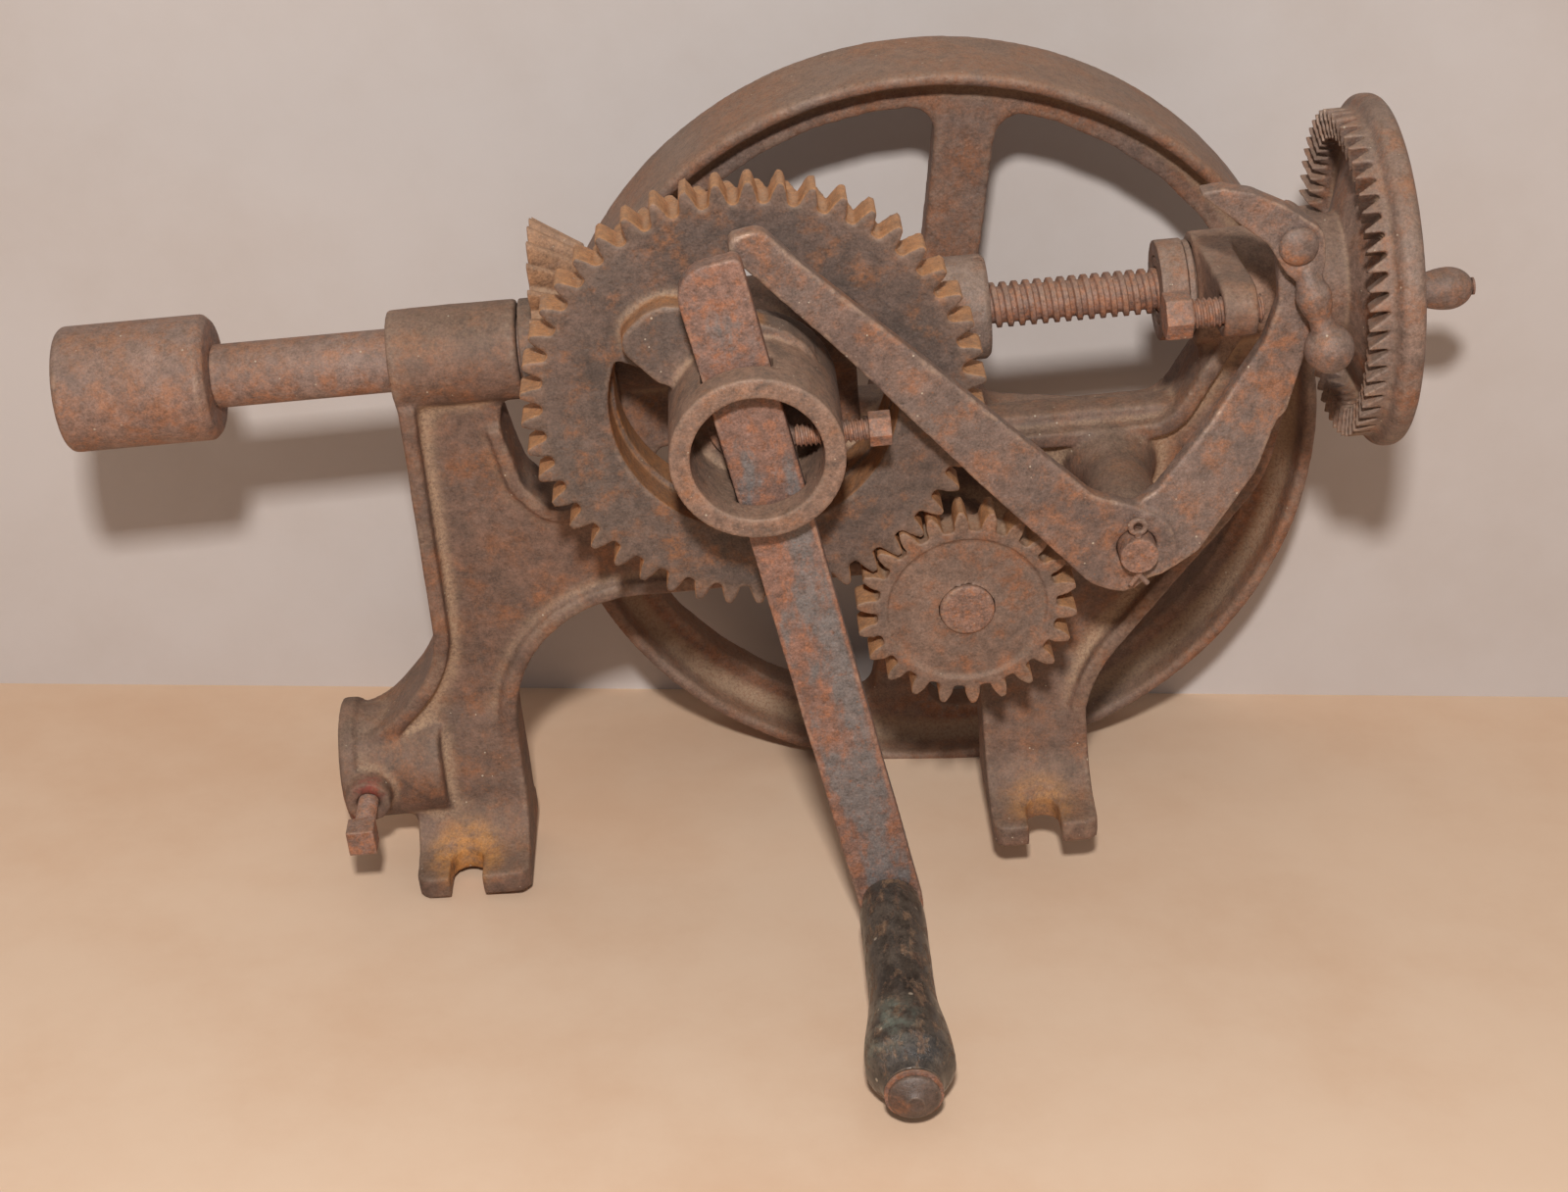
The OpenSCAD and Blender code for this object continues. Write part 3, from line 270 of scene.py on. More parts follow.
world = bpy.data.worlds.new("world")
bpy.context.scene.world = world
world.use_nodes = True
sky = world.node_tree
seen = put(sky, "ShaderNodeLightPath")
seen_or_mirrored = maths(sky, "MAXIMUM", seen.outputs["Is Camera Ray"],
                         maths(sky, "MAXIMUM", seen.outputs["Is Glossy Ray"],
                               seen.outputs["Is Transmission Ray"]))
background = sky.nodes["Background"]
background.inputs["Color"].default_value = (0.97, 0.98, 1.0, 1.0)
wire(sky, maths(sky, "ADD", maths(sky, "MULTIPLY", seen_or_mirrored, SEEN_LIGHT), EVEN_LIGHT),
     background.inputs["Strength"])
bpy.context.scene.view_settings.view_transform = "Standard"
print("the key lamp stands %.2f m away" % (key.location - target).length)

# %% [markdown]
# ## Finishes
#
# Old iron shows its years in layers. Under everything is the brown patina of the
# casting, mottled from the size of a hand down to single grains. Greyer areas show where
# a cloth or a shaft has rubbed. Orange rust grows in patches and in single specks. Edges
# are a little paler, and dust lies on what faced up and in every hollow; on the upward
# faces its pale tone is also painted light from above. Each layer is a mask, made once
# as a node group and placed in every metal with its own numbers.
#
# The masks for edges and hollows come from the mesh itself. Each vertex keeps two
# numbers: relief says how far it stands out of its close surroundings, and hollow how
# deep it lies in its wide surroundings.

# %% Node group: patches
FLOAT, VECTOR = "NodeSocketFloat", "NodeSocketVector"


def new_group(name, inputs, outputs):
    """Empty node group with its named sockets, and its two ends."""
    group = bpy.data.node_groups.new(name, "ShaderNodeTree")
    for label, kind, value in inputs:
        socket = group.interface.new_socket(name=label, in_out="INPUT", socket_type=kind)
        if value is not None:
            socket.default_value = value
    for label, kind in outputs:
        group.interface.new_socket(name=label, in_out="OUTPUT", socket_type=kind)
    return group, group.nodes.new("NodeGroupInput").outputs, group.nodes.new("NodeGroupOutput").inputs


def noise(tree, where, scale, detail=6.0, roughness=0.6):
    """Value of a noise texture."""
    return put(tree, "ShaderNodeTexNoise", Vector=where, Scale=scale, Detail=detail,
               Roughness=roughness).outputs[0]


patch_group, entry, leave = new_group(
    "patches",
    [("Place", VECTOR, None), ("Size", FLOAT, 0.02), ("Cover", FLOAT, 0.5), ("Softness", FLOAT, 0.1),
     ("Seed", FLOAT, 0.0)],
    [("Mask", FLOAT)])
cloud = put(patch_group, "ShaderNodeTexNoise", {"noise_dimensions": "4D"}, Vector=entry["Place"],
            W=entry["Seed"], Scale=maths(patch_group, "DIVIDE", 1.0, entry["Size"]), Detail=7.0,
            Roughness=0.66).outputs[0]
middle = maths(patch_group, "SUBTRACT", 0.74, maths(patch_group, "MULTIPLY", entry["Cover"], 0.48))
wire(patch_group, ramp(patch_group, cloud, maths(patch_group, "SUBTRACT", middle, entry["Softness"]),
                       maths(patch_group, "ADD", middle, entry["Softness"])), leave["Mask"])
print("group:", patch_group.name)

# %% [markdown]
# Single specks are cells of a Voronoi texture. Each cell has a random colour, and only
# the cells whose number is high enough show a dot at their centre.

# %% Node group: specks
speck_group, entry, leave = new_group(
    "specks", [("Place", VECTOR, None), ("Spacing", FLOAT, 0.003), ("Share", FLOAT, 0.3)], [("Mask", FLOAT)])
cells = put(speck_group, "ShaderNodeTexVoronoi", Vector=entry["Place"],
            Scale=maths(speck_group, "DIVIDE", 1.0, entry["Spacing"]))
draw = put(speck_group, "ShaderNodeSeparateXYZ", Vector=cells.outputs["Color"]).outputs
chosen = maths(speck_group, "GREATER_THAN", draw["X"], maths(speck_group, "SUBTRACT", 1.0, entry["Share"]))
reach = maths(speck_group, "MULTIPLY_ADD", draw["Y"], 0.22)
reach.node.inputs[2].default_value = 0.12
near = maths(speck_group, "SUBTRACT", 1.0, ramp(speck_group, cells.outputs["Distance"],
                                                maths(speck_group, "MULTIPLY", reach, 0.6), reach))
wire(speck_group, maths(speck_group, "MULTIPLY", near, chosen), leave["Mask"])
print("group:", speck_group.name)

# %% [markdown]
# Old iron is never one tone, even within a finger's width. The mottle is a number round
# one, made of blots of a few millimetres and of grains below one, that makes the colour
# under it lighter or darker.

# %% Node group: mottle
mottle_group, entry, leave = new_group(
    "mottle", [("Place", VECTOR, None), ("Strength", FLOAT, 1.0)], [("Shade", FLOAT)])
blots = ramp(mottle_group, noise(mottle_group, entry["Place"], 210.0, 7.0, 0.72), 0.3, 0.7)
grains = ramp(mottle_group, noise(mottle_group, entry["Place"], 1000.0, 5.0, 0.8), 0.25, 0.75)
uneven = maths(mottle_group, "ADD", maths(mottle_group, "MULTIPLY", blots, 0.42),
               maths(mottle_group, "MULTIPLY", grains, 0.62))
wire(mottle_group, maths(mottle_group, "ADD", maths(mottle_group, "MULTIPLY", maths(
    mottle_group, "SUBTRACT", uneven, 0.52), entry["Strength"]), 1.0), leave["Shade"])
print("group:", mottle_group.name)

# %% [markdown]
# Dust settles where a surface faces the picture's up, and gathers in hollows. On the
# upward faces the mask is also painted light: the tops are made paler as if lit from above.
# Its grains are as fine as sand, so both masks are broken up by a fine noise.

# %% Node group: dust and painted top light
UP_IN_PICTURE = (0.15, -0.98, 0.06)

dust_and_top_light_group, entry, leave = new_group(
    "dust",
    [("Place", VECTOR, None), ("Normal", VECTOR, None), ("Hollow", FLOAT, 0.0), ("On Top", FLOAT, 0.5),
     ("In Hollows", FLOAT, 0.5)],
    [("Mask", FLOAT)])
facing = put(dust_and_top_light_group, "ShaderNodeVectorMath", {"operation": "DOT_PRODUCT"})
wire(dust_and_top_light_group, entry["Normal"], facing.inputs[0])
facing.inputs[1].default_value = UP_IN_PICTURE
# Upward faces: partly dust, partly painted light from above.
top_dust_and_light = maths(dust_and_top_light_group, "MULTIPLY", ramp(dust_and_top_light_group, facing.outputs["Value"], -0.1, 1.0), entry["On Top"])
drifts = noise(dust_and_top_light_group, entry["Place"], 55.0, 4.0)
deep = maths(dust_and_top_light_group, "MULTIPLY", ramp(dust_and_top_light_group, maths(dust_and_top_light_group, "ADD", entry["Hollow"],
                                                            maths(dust_and_top_light_group, "MULTIPLY", drifts, 0.35)),
                                          0.28, 0.85), entry["In Hollows"])
grains = maths(dust_and_top_light_group, "MULTIPLY_ADD", ramp(dust_and_top_light_group, noise(dust_and_top_light_group, entry["Place"], 700.0, 5.0, 0.75),
                                                0.36, 0.62), 0.65)
grains.node.inputs[2].default_value = 0.35
wire(dust_and_top_light_group, maths(dust_and_top_light_group, "MULTIPLY", maths(dust_and_top_light_group, "ADD", top_dust_and_light, deep), grains, clamp=True),
     leave["Mask"])
print("group:", dust_and_top_light_group.name)

# %% [markdown]
# Worn edges are never an even line. The mask follows the relief and a coarse and a fine
# noise break it up, so that only parts of each edge are pale.

# %% Node group: worn edges
wear_group, entry, leave = new_group(
    "worn_edges",
    [("Place", VECTOR, None), ("Relief", FLOAT, 0.0), ("Amount", FLOAT, 0.5)],
    [("Mask", FLOAT)])
stretch = ramp(wear_group, noise(wear_group, entry["Place"], 38.0, 3.0), 0.42, 0.62)
chips = ramp(wear_group, noise(wear_group, entry["Place"], 330.0, 5.0, 0.7), 0.35, 0.65)
broken = maths(wear_group, "MULTIPLY", maths(wear_group, "MULTIPLY", stretch, chips), entry["Amount"])
wire(wear_group, maths(wear_group, "MULTIPLY", ramp(wear_group, entry["Relief"], 0.12, 0.5), broken, clamp=True),
     leave["Mask"])
print("group:", wear_group.name)

# %% [markdown]
# The iron's surface has three sizes of roughness: the swell of the sand mould, its
# grain and small pits. They add up to one height, which the material gives to a Bump
# node.

# %% Node group: surface of old iron
grain_group, entry, leave = new_group(
    "iron_grain", [("Place", VECTOR, None), ("Pits", FLOAT, 0.5)], [("Height", FLOAT)])
sand = noise(grain_group, entry["Place"], 620.0, 5.0, 0.72)
swell = noise(grain_group, entry["Place"], 90.0, 5.0, 0.6)
pit_cells = put(grain_group, "ShaderNodeTexVoronoi", Vector=entry["Place"], Scale=260.0).outputs["Distance"]
pit = maths(grain_group, "MULTIPLY", maths(grain_group, "SUBTRACT", 1.0, ramp(grain_group, pit_cells, 0.05, 0.35)),
            entry["Pits"])
wire(grain_group, maths(grain_group, "SUBTRACT", maths(grain_group, "ADD", maths(grain_group, "MULTIPLY", sand, 0.5),
                                                       swell), maths(grain_group, "MULTIPLY", pit, 0.45)),
     leave["Height"])
print("group:", grain_group.name)

# %% [markdown]
# A finish puts the layers together. Its colours and amounts are the only things that
# differ between the frame, the gears and the steel parts, so one function builds them
# all. A special layer, such as the rust on gear teeth, is a function that returns its
# own mask and colour.

# %% Build an iron finish


def from_group(tree, group, **values):
    """Place a node group in a tree, with its inputs set or linked by name."""
    return put(tree, "ShaderNodeGroup", {"node_tree": group}, **values).outputs[0]


def iron_finish(name, base, dark, grey, rust, bare, dust, greyed=0.4, rusted=0.35, rust_size=0.02, crisp=0.1,
                specked=0.25, mottled=1.3, on_top=0.35, in_hollows=0.8, wear=0.5, roughness=0.64, pits=0.5,
                bump=0.7, gloss=0.45, layers=()):
    """Cast iron or steel with patina, grey and rusty patches, specks, worn edges, and dust that is also painted light
    on the upward faces.
    """
    material, tree, shader, _ = shader_of(name)
    coordinates = put(tree, "ShaderNodeTexCoord")
    where, normal = coordinates.outputs["Object"], coordinates.outputs["Normal"]
    relief = put(tree, "ShaderNodeAttribute", {"attribute_name": "relief"}).outputs["Fac"]
    hollow = put(tree, "ShaderNodeAttribute", {"attribute_name": "hollow"}).outputs["Fac"]

    colour = blend(tree, ramp(tree, noise(tree, where, 42.0, 10.0, 0.72), 0.33, 0.67), dark, base)
    rubbed = from_group(tree, patch_group, Place=where, Size=0.045, Cover=greyed, Softness=0.2, Seed=1.0)
    colour = blend(tree, maths(tree, "MULTIPLY", rubbed, 0.75), colour, grey)
    grime = from_group(tree, patch_group, Place=where, Size=0.0045, Cover=0.4, Softness=0.16, Seed=2.0)
    colour = blend(tree, maths(tree, "MULTIPLY", grime, 0.35), colour, dark)
    rusty = from_group(tree, patch_group, Place=where, Size=rust_size, Cover=rusted, Softness=crisp, Seed=3.0)
    flakes = from_group(tree, patch_group, Place=where, Size=0.0026, Cover=0.62, Softness=0.12, Seed=4.0)
    colour = blend(tree, maths(tree, "MULTIPLY", maths(tree, "MULTIPLY", rusty, flakes), 0.9), colour, rust)
    for layer in layers:
        mask, tone = layer(tree, where, normal, relief, hollow)
        colour = blend(tree, mask, colour, tone)
    colour = blend(tree, 1.0, colour, from_group(tree, mottle_group, Place=where, Strength=mottled), "MULTIPLY")
    worn = from_group(tree, wear_group, Place=where, Relief=relief, Amount=wear)
    colour = blend(tree, worn, colour, bare)
    specks = from_group(tree, speck_group, Place=where, Spacing=0.0017, Share=specked)
    colour = blend(tree, maths(tree, "MULTIPLY", specks, 0.55), colour, rust)
    # Pale tone in hollows is dust; on upward faces it is dust and painted light.
    dust_and_top_light_mask = from_group(tree, dust_and_top_light_group, Place=where, Normal=normal, Hollow=hollow, On_Top=on_top,
                       In_Hollows=in_hollows)
    colour = blend(tree, dust_and_top_light_mask, colour, dust)
    crumbs = from_group(tree, speck_group, Place=put(tree, "ShaderNodeMapping", Vector=where,
                                                     Location=(0.3, 0.1, 0.2)).outputs[0],
                        Spacing=0.0019, Share=0.022)
    colour = blend(tree, maths(tree, "MULTIPLY", crumbs, 0.9), colour, CRUMB)
    wire(tree, colour, shader.inputs["Base Color"])

    polish = maths(tree, "MULTIPLY", maths(tree, "ADD", worn, maths(tree, "MULTIPLY", rubbed, 0.35)), -0.26)
    matt = maths(tree, "MULTIPLY", dust_and_top_light_mask, 0.25)
    wire(tree, maths(tree, "ADD", maths(tree, "ADD", polish, roughness), matt, clamp=True),
         shader.inputs["Roughness"])
    wire(tree, maths(tree, "MULTIPLY", worn, 0.3), shader.inputs["Metallic"])
    shader.inputs["Specular IOR Level"].default_value = gloss
    height = from_group(tree, grain_group, Place=where, Pits=pits)
    wire(tree, put(tree, "ShaderNodeBump", Strength=bump, Distance=0.0009, Height=height).outputs[0],
         shader.inputs["Normal"])
    return material


CRUMB = paint(186, 168, 146)
# Pale dust tone, also the colour of the painted light on upward faces.
DUST_AND_TOP_LIGHT_TONE = paint(170, 140, 113)
RUST_BROWN = paint(136, 88, 60)
RUST_ORANGE = paint(160, 104, 60)
FOOT_RUST = paint(186, 126, 62)
print("finish builder ready")

# %% [markdown]
# Some places on the drill have a colour of their own: orange rust round the slots of
# the feet, where bolts used to sit, traces of old red paint on the table's socket, and
# dust on the upper bearing. Each is a mask that fades with the distance from a point,
# broken up by patches.

# %% Local colours


def local_colour(place, inner, outer, tone, amount, size=0.006, cover=0.62, seed=20.0):
    """Layer of a colour round one place, given in metres."""
    def layer(tree, where, normal, relief, hollow):
        apart = put(tree, "ShaderNodeVectorMath", {"operation": "DISTANCE"})
        wire(tree, where, apart.inputs[0])
        apart.inputs[1].default_value = place
        near = maths(tree, "SUBTRACT", 1.0, ramp(tree, apart.outputs["Value"], inner, outer))
        torn = from_group(tree, patch_group, Place=where, Size=size, Cover=cover, Softness=0.14, Seed=seed)
        return maths(tree, "MULTIPLY", maths(tree, "MULTIPLY", near, torn), amount), tone
    return layer


RED_PAINT = paint(140, 52, 44)
PALE_DUST = paint(160, 125, 104)
LOWER_SLOT, UPPER_SLOT = (0.038, -0.014, -0.1365), (0.038, -0.014, 0.1365)
SOCKET_RIM, SOCKET_SCREW = (0.022, -0.034, -0.189), (0.037, -0.056, -0.176)
UPPER_BEARING = (0.0, -0.258, 0.235)
frame_iron = iron_finish(
    "frame_iron", paint(122, 90, 74), paint(84, 63, 53), paint(106, 88, 79), paint(130, 84, 56), paint(156, 130, 110),
    DUST_AND_TOP_LIGHT_TONE, greyed=0.35, rusted=0.4, in_hollows=0.9,
    layers=[local_colour(LOWER_SLOT, 0.011, 0.023, FOOT_RUST, 0.9),
            local_colour(UPPER_SLOT, 0.009, 0.020, FOOT_RUST, 0.6),
            local_colour(SOCKET_RIM, 0.006, 0.016, RED_PAINT, 0.7, cover=0.4),
            local_colour(SOCKET_SCREW, 0.004, 0.011, RED_PAINT, 0.8, cover=0.5),
            local_colour(UPPER_BEARING, 0.030, 0.048, PALE_DUST, 0.6)])
bearing_iron = iron_finish(
    "bearing_iron", paint(140, 114, 99), paint(110, 89, 78), paint(130, 114, 105), RUST_BROWN,
    paint(158, 134, 116), DUST_AND_TOP_LIGHT_TONE, greyed=0.55, rusted=0.4, on_top=0.3)
# More of the pale tone on the flywheel's upward faces: dust and painted light on the rim's top.
wheel_iron = iron_finish(
    "wheel_iron", paint(140, 106, 86), paint(106, 81, 69), paint(116, 99, 90), RUST_BROWN, paint(150, 124, 106),
    DUST_AND_TOP_LIGHT_TONE, greyed=0.45, rusted=0.45, rust_size=0.035, on_top=0.42)
rusty_steel = iron_finish(
    "rusty_steel", paint(143, 112, 97), paint(108, 84, 74), paint(130, 110, 101), paint(144, 98, 72),
    paint(172, 142, 120), DUST_AND_TOP_LIGHT_TONE, greyed=0.4, rusted=0.48, rust_size=0.012, on_top=0.25, pits=0.7)
steel_plain = iron_finish(
    "steel_plain", paint(142, 110, 94), paint(104, 80, 68), paint(126, 108, 98), RUST_BROWN,
    paint(158, 142, 128), DUST_AND_TOP_LIGHT_TONE, roughness=0.55, on_top=0.25)
lever_steel = iron_finish(
    "lever_steel", paint(128, 101, 88), paint(94, 75, 67), paint(114, 98, 90), paint(142, 94, 66),
    paint(172, 142, 120), DUST_AND_TOP_LIGHT_TONE, greyed=0.45, rusted=0.42, rust_size=0.014, mottled=1.4, wear=0.75, roughness=0.56,
    on_top=0.25)
screw_steel = iron_finish(
    "screw_steel", paint(146, 108, 92), paint(110, 82, 71), paint(128, 108, 98), paint(150, 98, 70),
    paint(168, 136, 116), DUST_AND_TOP_LIGHT_TONE, rusted=0.5, rust_size=0.004, crisp=0.06, specked=0.3, mottled=1.5, on_top=0.3,
    in_hollows=0.6, pits=0.8)
bolt_steel = iron_finish(
    "bolt_steel", paint(100, 80, 70), paint(70, 56, 50), paint(94, 82, 76), RUST_BROWN,
    paint(150, 128, 110), DUST_AND_TOP_LIGHT_TONE, roughness=0.42, on_top=0.15)
print("finishes:", frame_iron.name, bearing_iron.name, wheel_iron.name, rusty_steel.name, lever_steel.name)

# %% [markdown]
# The gears are dark and oily on their faces, with dry orange rust on the sides of the
# teeth and between them, where the oil rubbed off. The mask is the distance from the
# gear's axis, measured in the piece's own coordinates, and it grows where the surface
# does not face along the axis.

# %% Rust on the gear teeth


def ring_rust(through, axis, inner, outer, face_share, tone, cover=0.8):
    """Layer of rust outside a radius about an axis; less on the faces that look along it."""
    def layer(tree, where, normal, relief, hollow):
        moved = put(tree, "ShaderNodeVectorMath", {"operation": "SUBTRACT"})
        wire(tree, where, moved.inputs[0])
        moved.inputs[1].default_value = through
        flat = put(tree, "ShaderNodeVectorMath", {"operation": "MULTIPLY"})
        wire(tree, moved.outputs[0], flat.inputs[0])
        flat.inputs[1].default_value = [1.0 - a for a in axis]
        radius = put(tree, "ShaderNodeVectorMath", {"operation": "LENGTH"})
        wire(tree, flat.outputs[0], radius.inputs[0])
        zone = ramp(tree, radius.outputs["Value"], inner, outer)
        along = put(tree, "ShaderNodeVectorMath", {"operation": "DOT_PRODUCT"})
        wire(tree, normal, along.inputs[0])
        along.inputs[1].default_value = axis
        sideways = maths(tree, "SUBTRACT", 1.0, ramp(tree, maths(tree, "ABSOLUTE", along.outputs["Value"]),
                                                     0.3, 0.9))
        share = maths(tree, "MULTIPLY_ADD", sideways, 1.0 - face_share)
        share.node.inputs[2].default_value = face_share
        uneven = from_group(tree, patch_group, Place=where, Size=0.007, Cover=cover, Softness=0.25, Seed=6.0)
        return maths(tree, "MULTIPLY", maths(tree, "MULTIPLY", zone, share), uneven), tone
    return layer


CRANK_AXIS = (0.0, -0.254, 0.020)
SHAFT_AXIS = (0.0, -0.14498, 0.1037)
ALONG_X, ALONG_Z = (1.0, 0.0, 0.0), (0.0, 0.0, 1.0)
HUB_END = (0.117, -0.254, 0.020)
GEAR_COLOURS = (paint(107, 84, 73), paint(72, 58, 51), paint(96, 83, 76), paint(132, 86, 56),
                paint(148, 122, 104), DUST_AND_TOP_LIGHT_TONE)
TOOTH_RUST = paint(176, 122, 76)
crank_gear_iron = iron_finish(
    "crank_gear_iron", *GEAR_COLOURS, greyed=0.4, rusted=0.34, rust_size=0.012, specked=0.35, on_top=0.35,
    in_hollows=0.5,
    layers=[local_colour(HUB_END, 0.044, 0.056, paint(152, 117, 97), 0.6),
            ring_rust(CRANK_AXIS, ALONG_X, 0.040, 0.0412, 0.0, RUST_ORANGE, 0.7),
            ring_rust(CRANK_AXIS, ALONG_X, 0.0840, 0.0880, 0.06, TOOTH_RUST)])
pinion_iron = iron_finish(
    "pinion_iron", paint(131, 101, 84), paint(98, 77, 66), paint(112, 96, 87), RUST_BROWN,
    paint(156, 128, 106), DUST_AND_TOP_LIGHT_TONE, greyed=0.35, rusted=0.4, rust_size=0.012, specked=0.3, on_top=0.35,
    layers=[ring_rust(SHAFT_AXIS, ALONG_X, 0.038, 0.042, 0.12, TOOTH_RUST)])
bevel_iron = iron_finish(
    "bevel_iron", *GEAR_COLOURS, greyed=0.35, rusted=0.4, specked=0.3,
    layers=[ring_rust(CRANK_AXIS, ALONG_Z, 0.034, 0.042, 0.8, paint(160, 118, 86))])
feed_wheel_iron = iron_finish(
    "feed_wheel_iron", paint(140, 111, 95), paint(103, 80, 69), paint(121, 105, 96), RUST_BROWN,
    paint(160, 132, 112), DUST_AND_TOP_LIGHT_TONE, greyed=0.45, rusted=0.4, wear=0.75, on_top=0.3)
shaft_steel = iron_finish(
    "shaft_steel", paint(144, 106, 88), paint(110, 83, 71), paint(130, 104, 92), paint(150, 98, 68),
    paint(168, 140, 118), DUST_AND_TOP_LIGHT_TONE, greyed=0.3, rusted=0.4, rust_size=0.003, crisp=0.06, specked=0.4, mottled=1.6,
    on_top=0.2, pits=1.0)
print("gear finishes:", crank_gear_iron.name, pinion_iron.name, bevel_iron.name, feed_wheel_iron.name)

# %% [markdown]
# The crank bar is mild steel. Its flat sides are still smooth and blue-grey where the
# scale has held, with red-brown rust eaten in between and round its edges. The scale
# lies in long patches, so its pattern is stretched along the bar.

# %% Finish of the crank bar


def held_scale(tree, where, normal, relief, hollow):
    """Smooth blue-grey scale left between the rust, away from the edges."""
    stretched = put(tree, "ShaderNodeMapping", Vector=where, Scale=(1.0, 0.45, 1.0)).outputs[0]
    broad = from_group(tree, patch_group, Place=stretched, Size=0.022, Cover=0.5, Softness=0.05, Seed=8.0)
    torn = from_group(tree, patch_group, Place=where, Size=0.0036, Cover=0.76, Softness=0.08, Seed=9.0)
    inside = maths(tree, "SUBTRACT", 1.0, ramp(tree, relief, 0.0, 0.4))
    held = maths(tree, "MULTIPLY", maths(tree, "MULTIPLY", broad, torn), inside)
    return maths(tree, "MULTIPLY", held, 0.85), paint(106, 102, 100)


bar_steel = iron_finish(
    "bar_steel", paint(140, 102, 86), paint(104, 77, 66), paint(126, 102, 92), paint(146, 96, 70),
    paint(178, 144, 124), DUST_AND_TOP_LIGHT_TONE, greyed=0.35, rusted=0.45, rust_size=0.006, crisp=0.07, specked=0.3, mottled=1.4,
    roughness=0.56, wear=0.7, pits=0.9, on_top=0.2, layers=[held_scale])
print("finish:", bar_steel.name)

# %% [markdown]
# The grip is turned wood under thick black varnish. Sweat and knocks have taken the
# varnish off in spots, where brown wood with a fine grain along the handle shows. A pale
# grey-green patch near the end is old paint and a painted highlight; the ends are worn brown.

# %% Finish of the grip
GREEN_PATCH_AND_HIGHLIGHT = (0.215, -0.030, 0.052)


def varnished_grip():
    """Black varnish with worn brown patches and a grey-green patch that is partly paint and partly painted highlight.
    """
    material, tree, shader, _ = shader_of("grip_varnish")
    where = put(tree, "ShaderNodeTexCoord").outputs["Object"]
    relief = put(tree, "ShaderNodeAttribute", {"attribute_name": "relief"}).outputs["Fac"]
    stretched = put(tree, "ShaderNodeMapping", Vector=where, Scale=(0.12, 1.0, 1.0)).outputs[0]
    grain = noise(tree, stretched, 420.0, 4.0)
    wood = blend(tree, ramp(tree, grain, 0.35, 0.65), paint(120, 94, 72), paint(82, 61, 48))
    black = blend(tree, from_group(tree, patch_group, Place=where, Size=0.012, Cover=0.5, Softness=0.3, Seed=11.0),
                  paint(40, 36, 33), paint(92, 80, 69))
    scuffed = put(tree, "ShaderNodeMapping", Vector=where, Scale=(0.5, 1.0, 1.0)).outputs[0]
    gone = from_group(tree, patch_group, Place=scuffed, Size=0.006, Cover=0.4, Softness=0.05, Seed=12.0)
    colour = blend(tree, 1.0, blend(tree, gone, black, wood),
                   from_group(tree, mottle_group, Place=where, Strength=1.8), "MULTIPLY")
    # Pale grey-green patch: partly old paint, partly a painted highlight.
    green_and_highlight = local_colour(GREEN_PATCH_AND_HIGHLIGHT, 0.008, 0.022, paint(128, 134, 120), 0.85, size=0.008, cover=0.42, seed=17.0)
    mask, tone = green_and_highlight(tree, where, None, relief, None)
    colour = blend(tree, mask, colour, tone)
    worn = from_group(tree, wear_group, Place=where, Relief=relief, Amount=0.8)
    colour = blend(tree, worn, colour, paint(122, 98, 76))
    crumbs = from_group(tree, speck_group, Place=where, Spacing=0.005, Share=0.12)
    colour = blend(tree, maths(tree, "MULTIPLY", crumbs, 0.7), colour, CRUMB)
    wire(tree, colour, shader.inputs["Base Color"])
    wire(tree, maths(tree, "ADD", maths(tree, "MULTIPLY", gone, 0.3), 0.3), shader.inputs["Roughness"])
    shader.inputs["Specular IOR Level"].default_value = 0.5
    scratches = noise(tree, stretched, 330.0, 5.0)
    depth = maths(tree, "SUBTRACT", maths(tree, "MULTIPLY", scratches, 0.4), gone)
    wire(tree, put(tree, "ShaderNodeBump", Strength=0.5, Distance=0.0006, Height=depth).outputs[0],
         shader.inputs["Normal"])
    return material


grip_varnish = varnished_grip()
print("finish:", grip_varnish.name)

# %% [markdown]
# ## Castings
#
# A casting has no sharp edge anywhere: the sand mould and the years round them all. The
# CAD solid has the right size but knife edges. A copy is given a new skin of small even
# faces, which is relaxed so that every edge turns round. A faint ripple takes away the
# perfect flatness, and the mesh is thinned where it is flat. Nothing here moves a
# surface far, so the piece keeps its CAD size.
#
# The helpers work on plain arrays of numbers: the points of a mesh, and for each edge
# the two points it joins. The average of a point's neighbours is then a sum over edges.

# %% Meshes as arrays


def copy_of(node, name):
    """Copy of a CAD node's mesh with its loose triangles joined."""
    piece = bpy.data.objects.new(name, frame["nodes"][node].data.copy())
    bpy.context.scene.collection.objects.link(piece)
    joined = bmesh.new()
    joined.from_mesh(piece.data)
    bmesh.ops.remove_doubles(joined, verts=joined.verts, dist=1e-6)
    joined.to_mesh(piece.data)
    joined.free()
    return piece


def settle(piece):
    """Turn a piece with modifiers into a plain mesh."""
    depsgraph = bpy.context.evaluated_depsgraph_get()
    mesh = bpy.data.meshes.new_from_object(piece.evaluated_get(depsgraph), depsgraph=depsgraph)
    piece.modifiers.clear()
    piece.data = mesh
    return piece


def points_of(mesh):
    """Places of a mesh's points as rows of three numbers."""
    points = np.empty(len(mesh.vertices) * 3)
    mesh.vertices.foreach_get("co", points)
    return points.reshape(-1, 3)


def move_points(mesh, points):
    """Put a mesh's points where the rows say."""
    mesh.vertices.foreach_set("co", points.ravel())
    mesh.update()


def normals_of(mesh):
    """Direction that each point of a mesh faces."""
    normals = np.empty(len(mesh.vertices) * 3, dtype=np.float32)
    mesh.vertex_normals.foreach_get("vector", normals)
    return normals.reshape(-1, 3).astype(float)


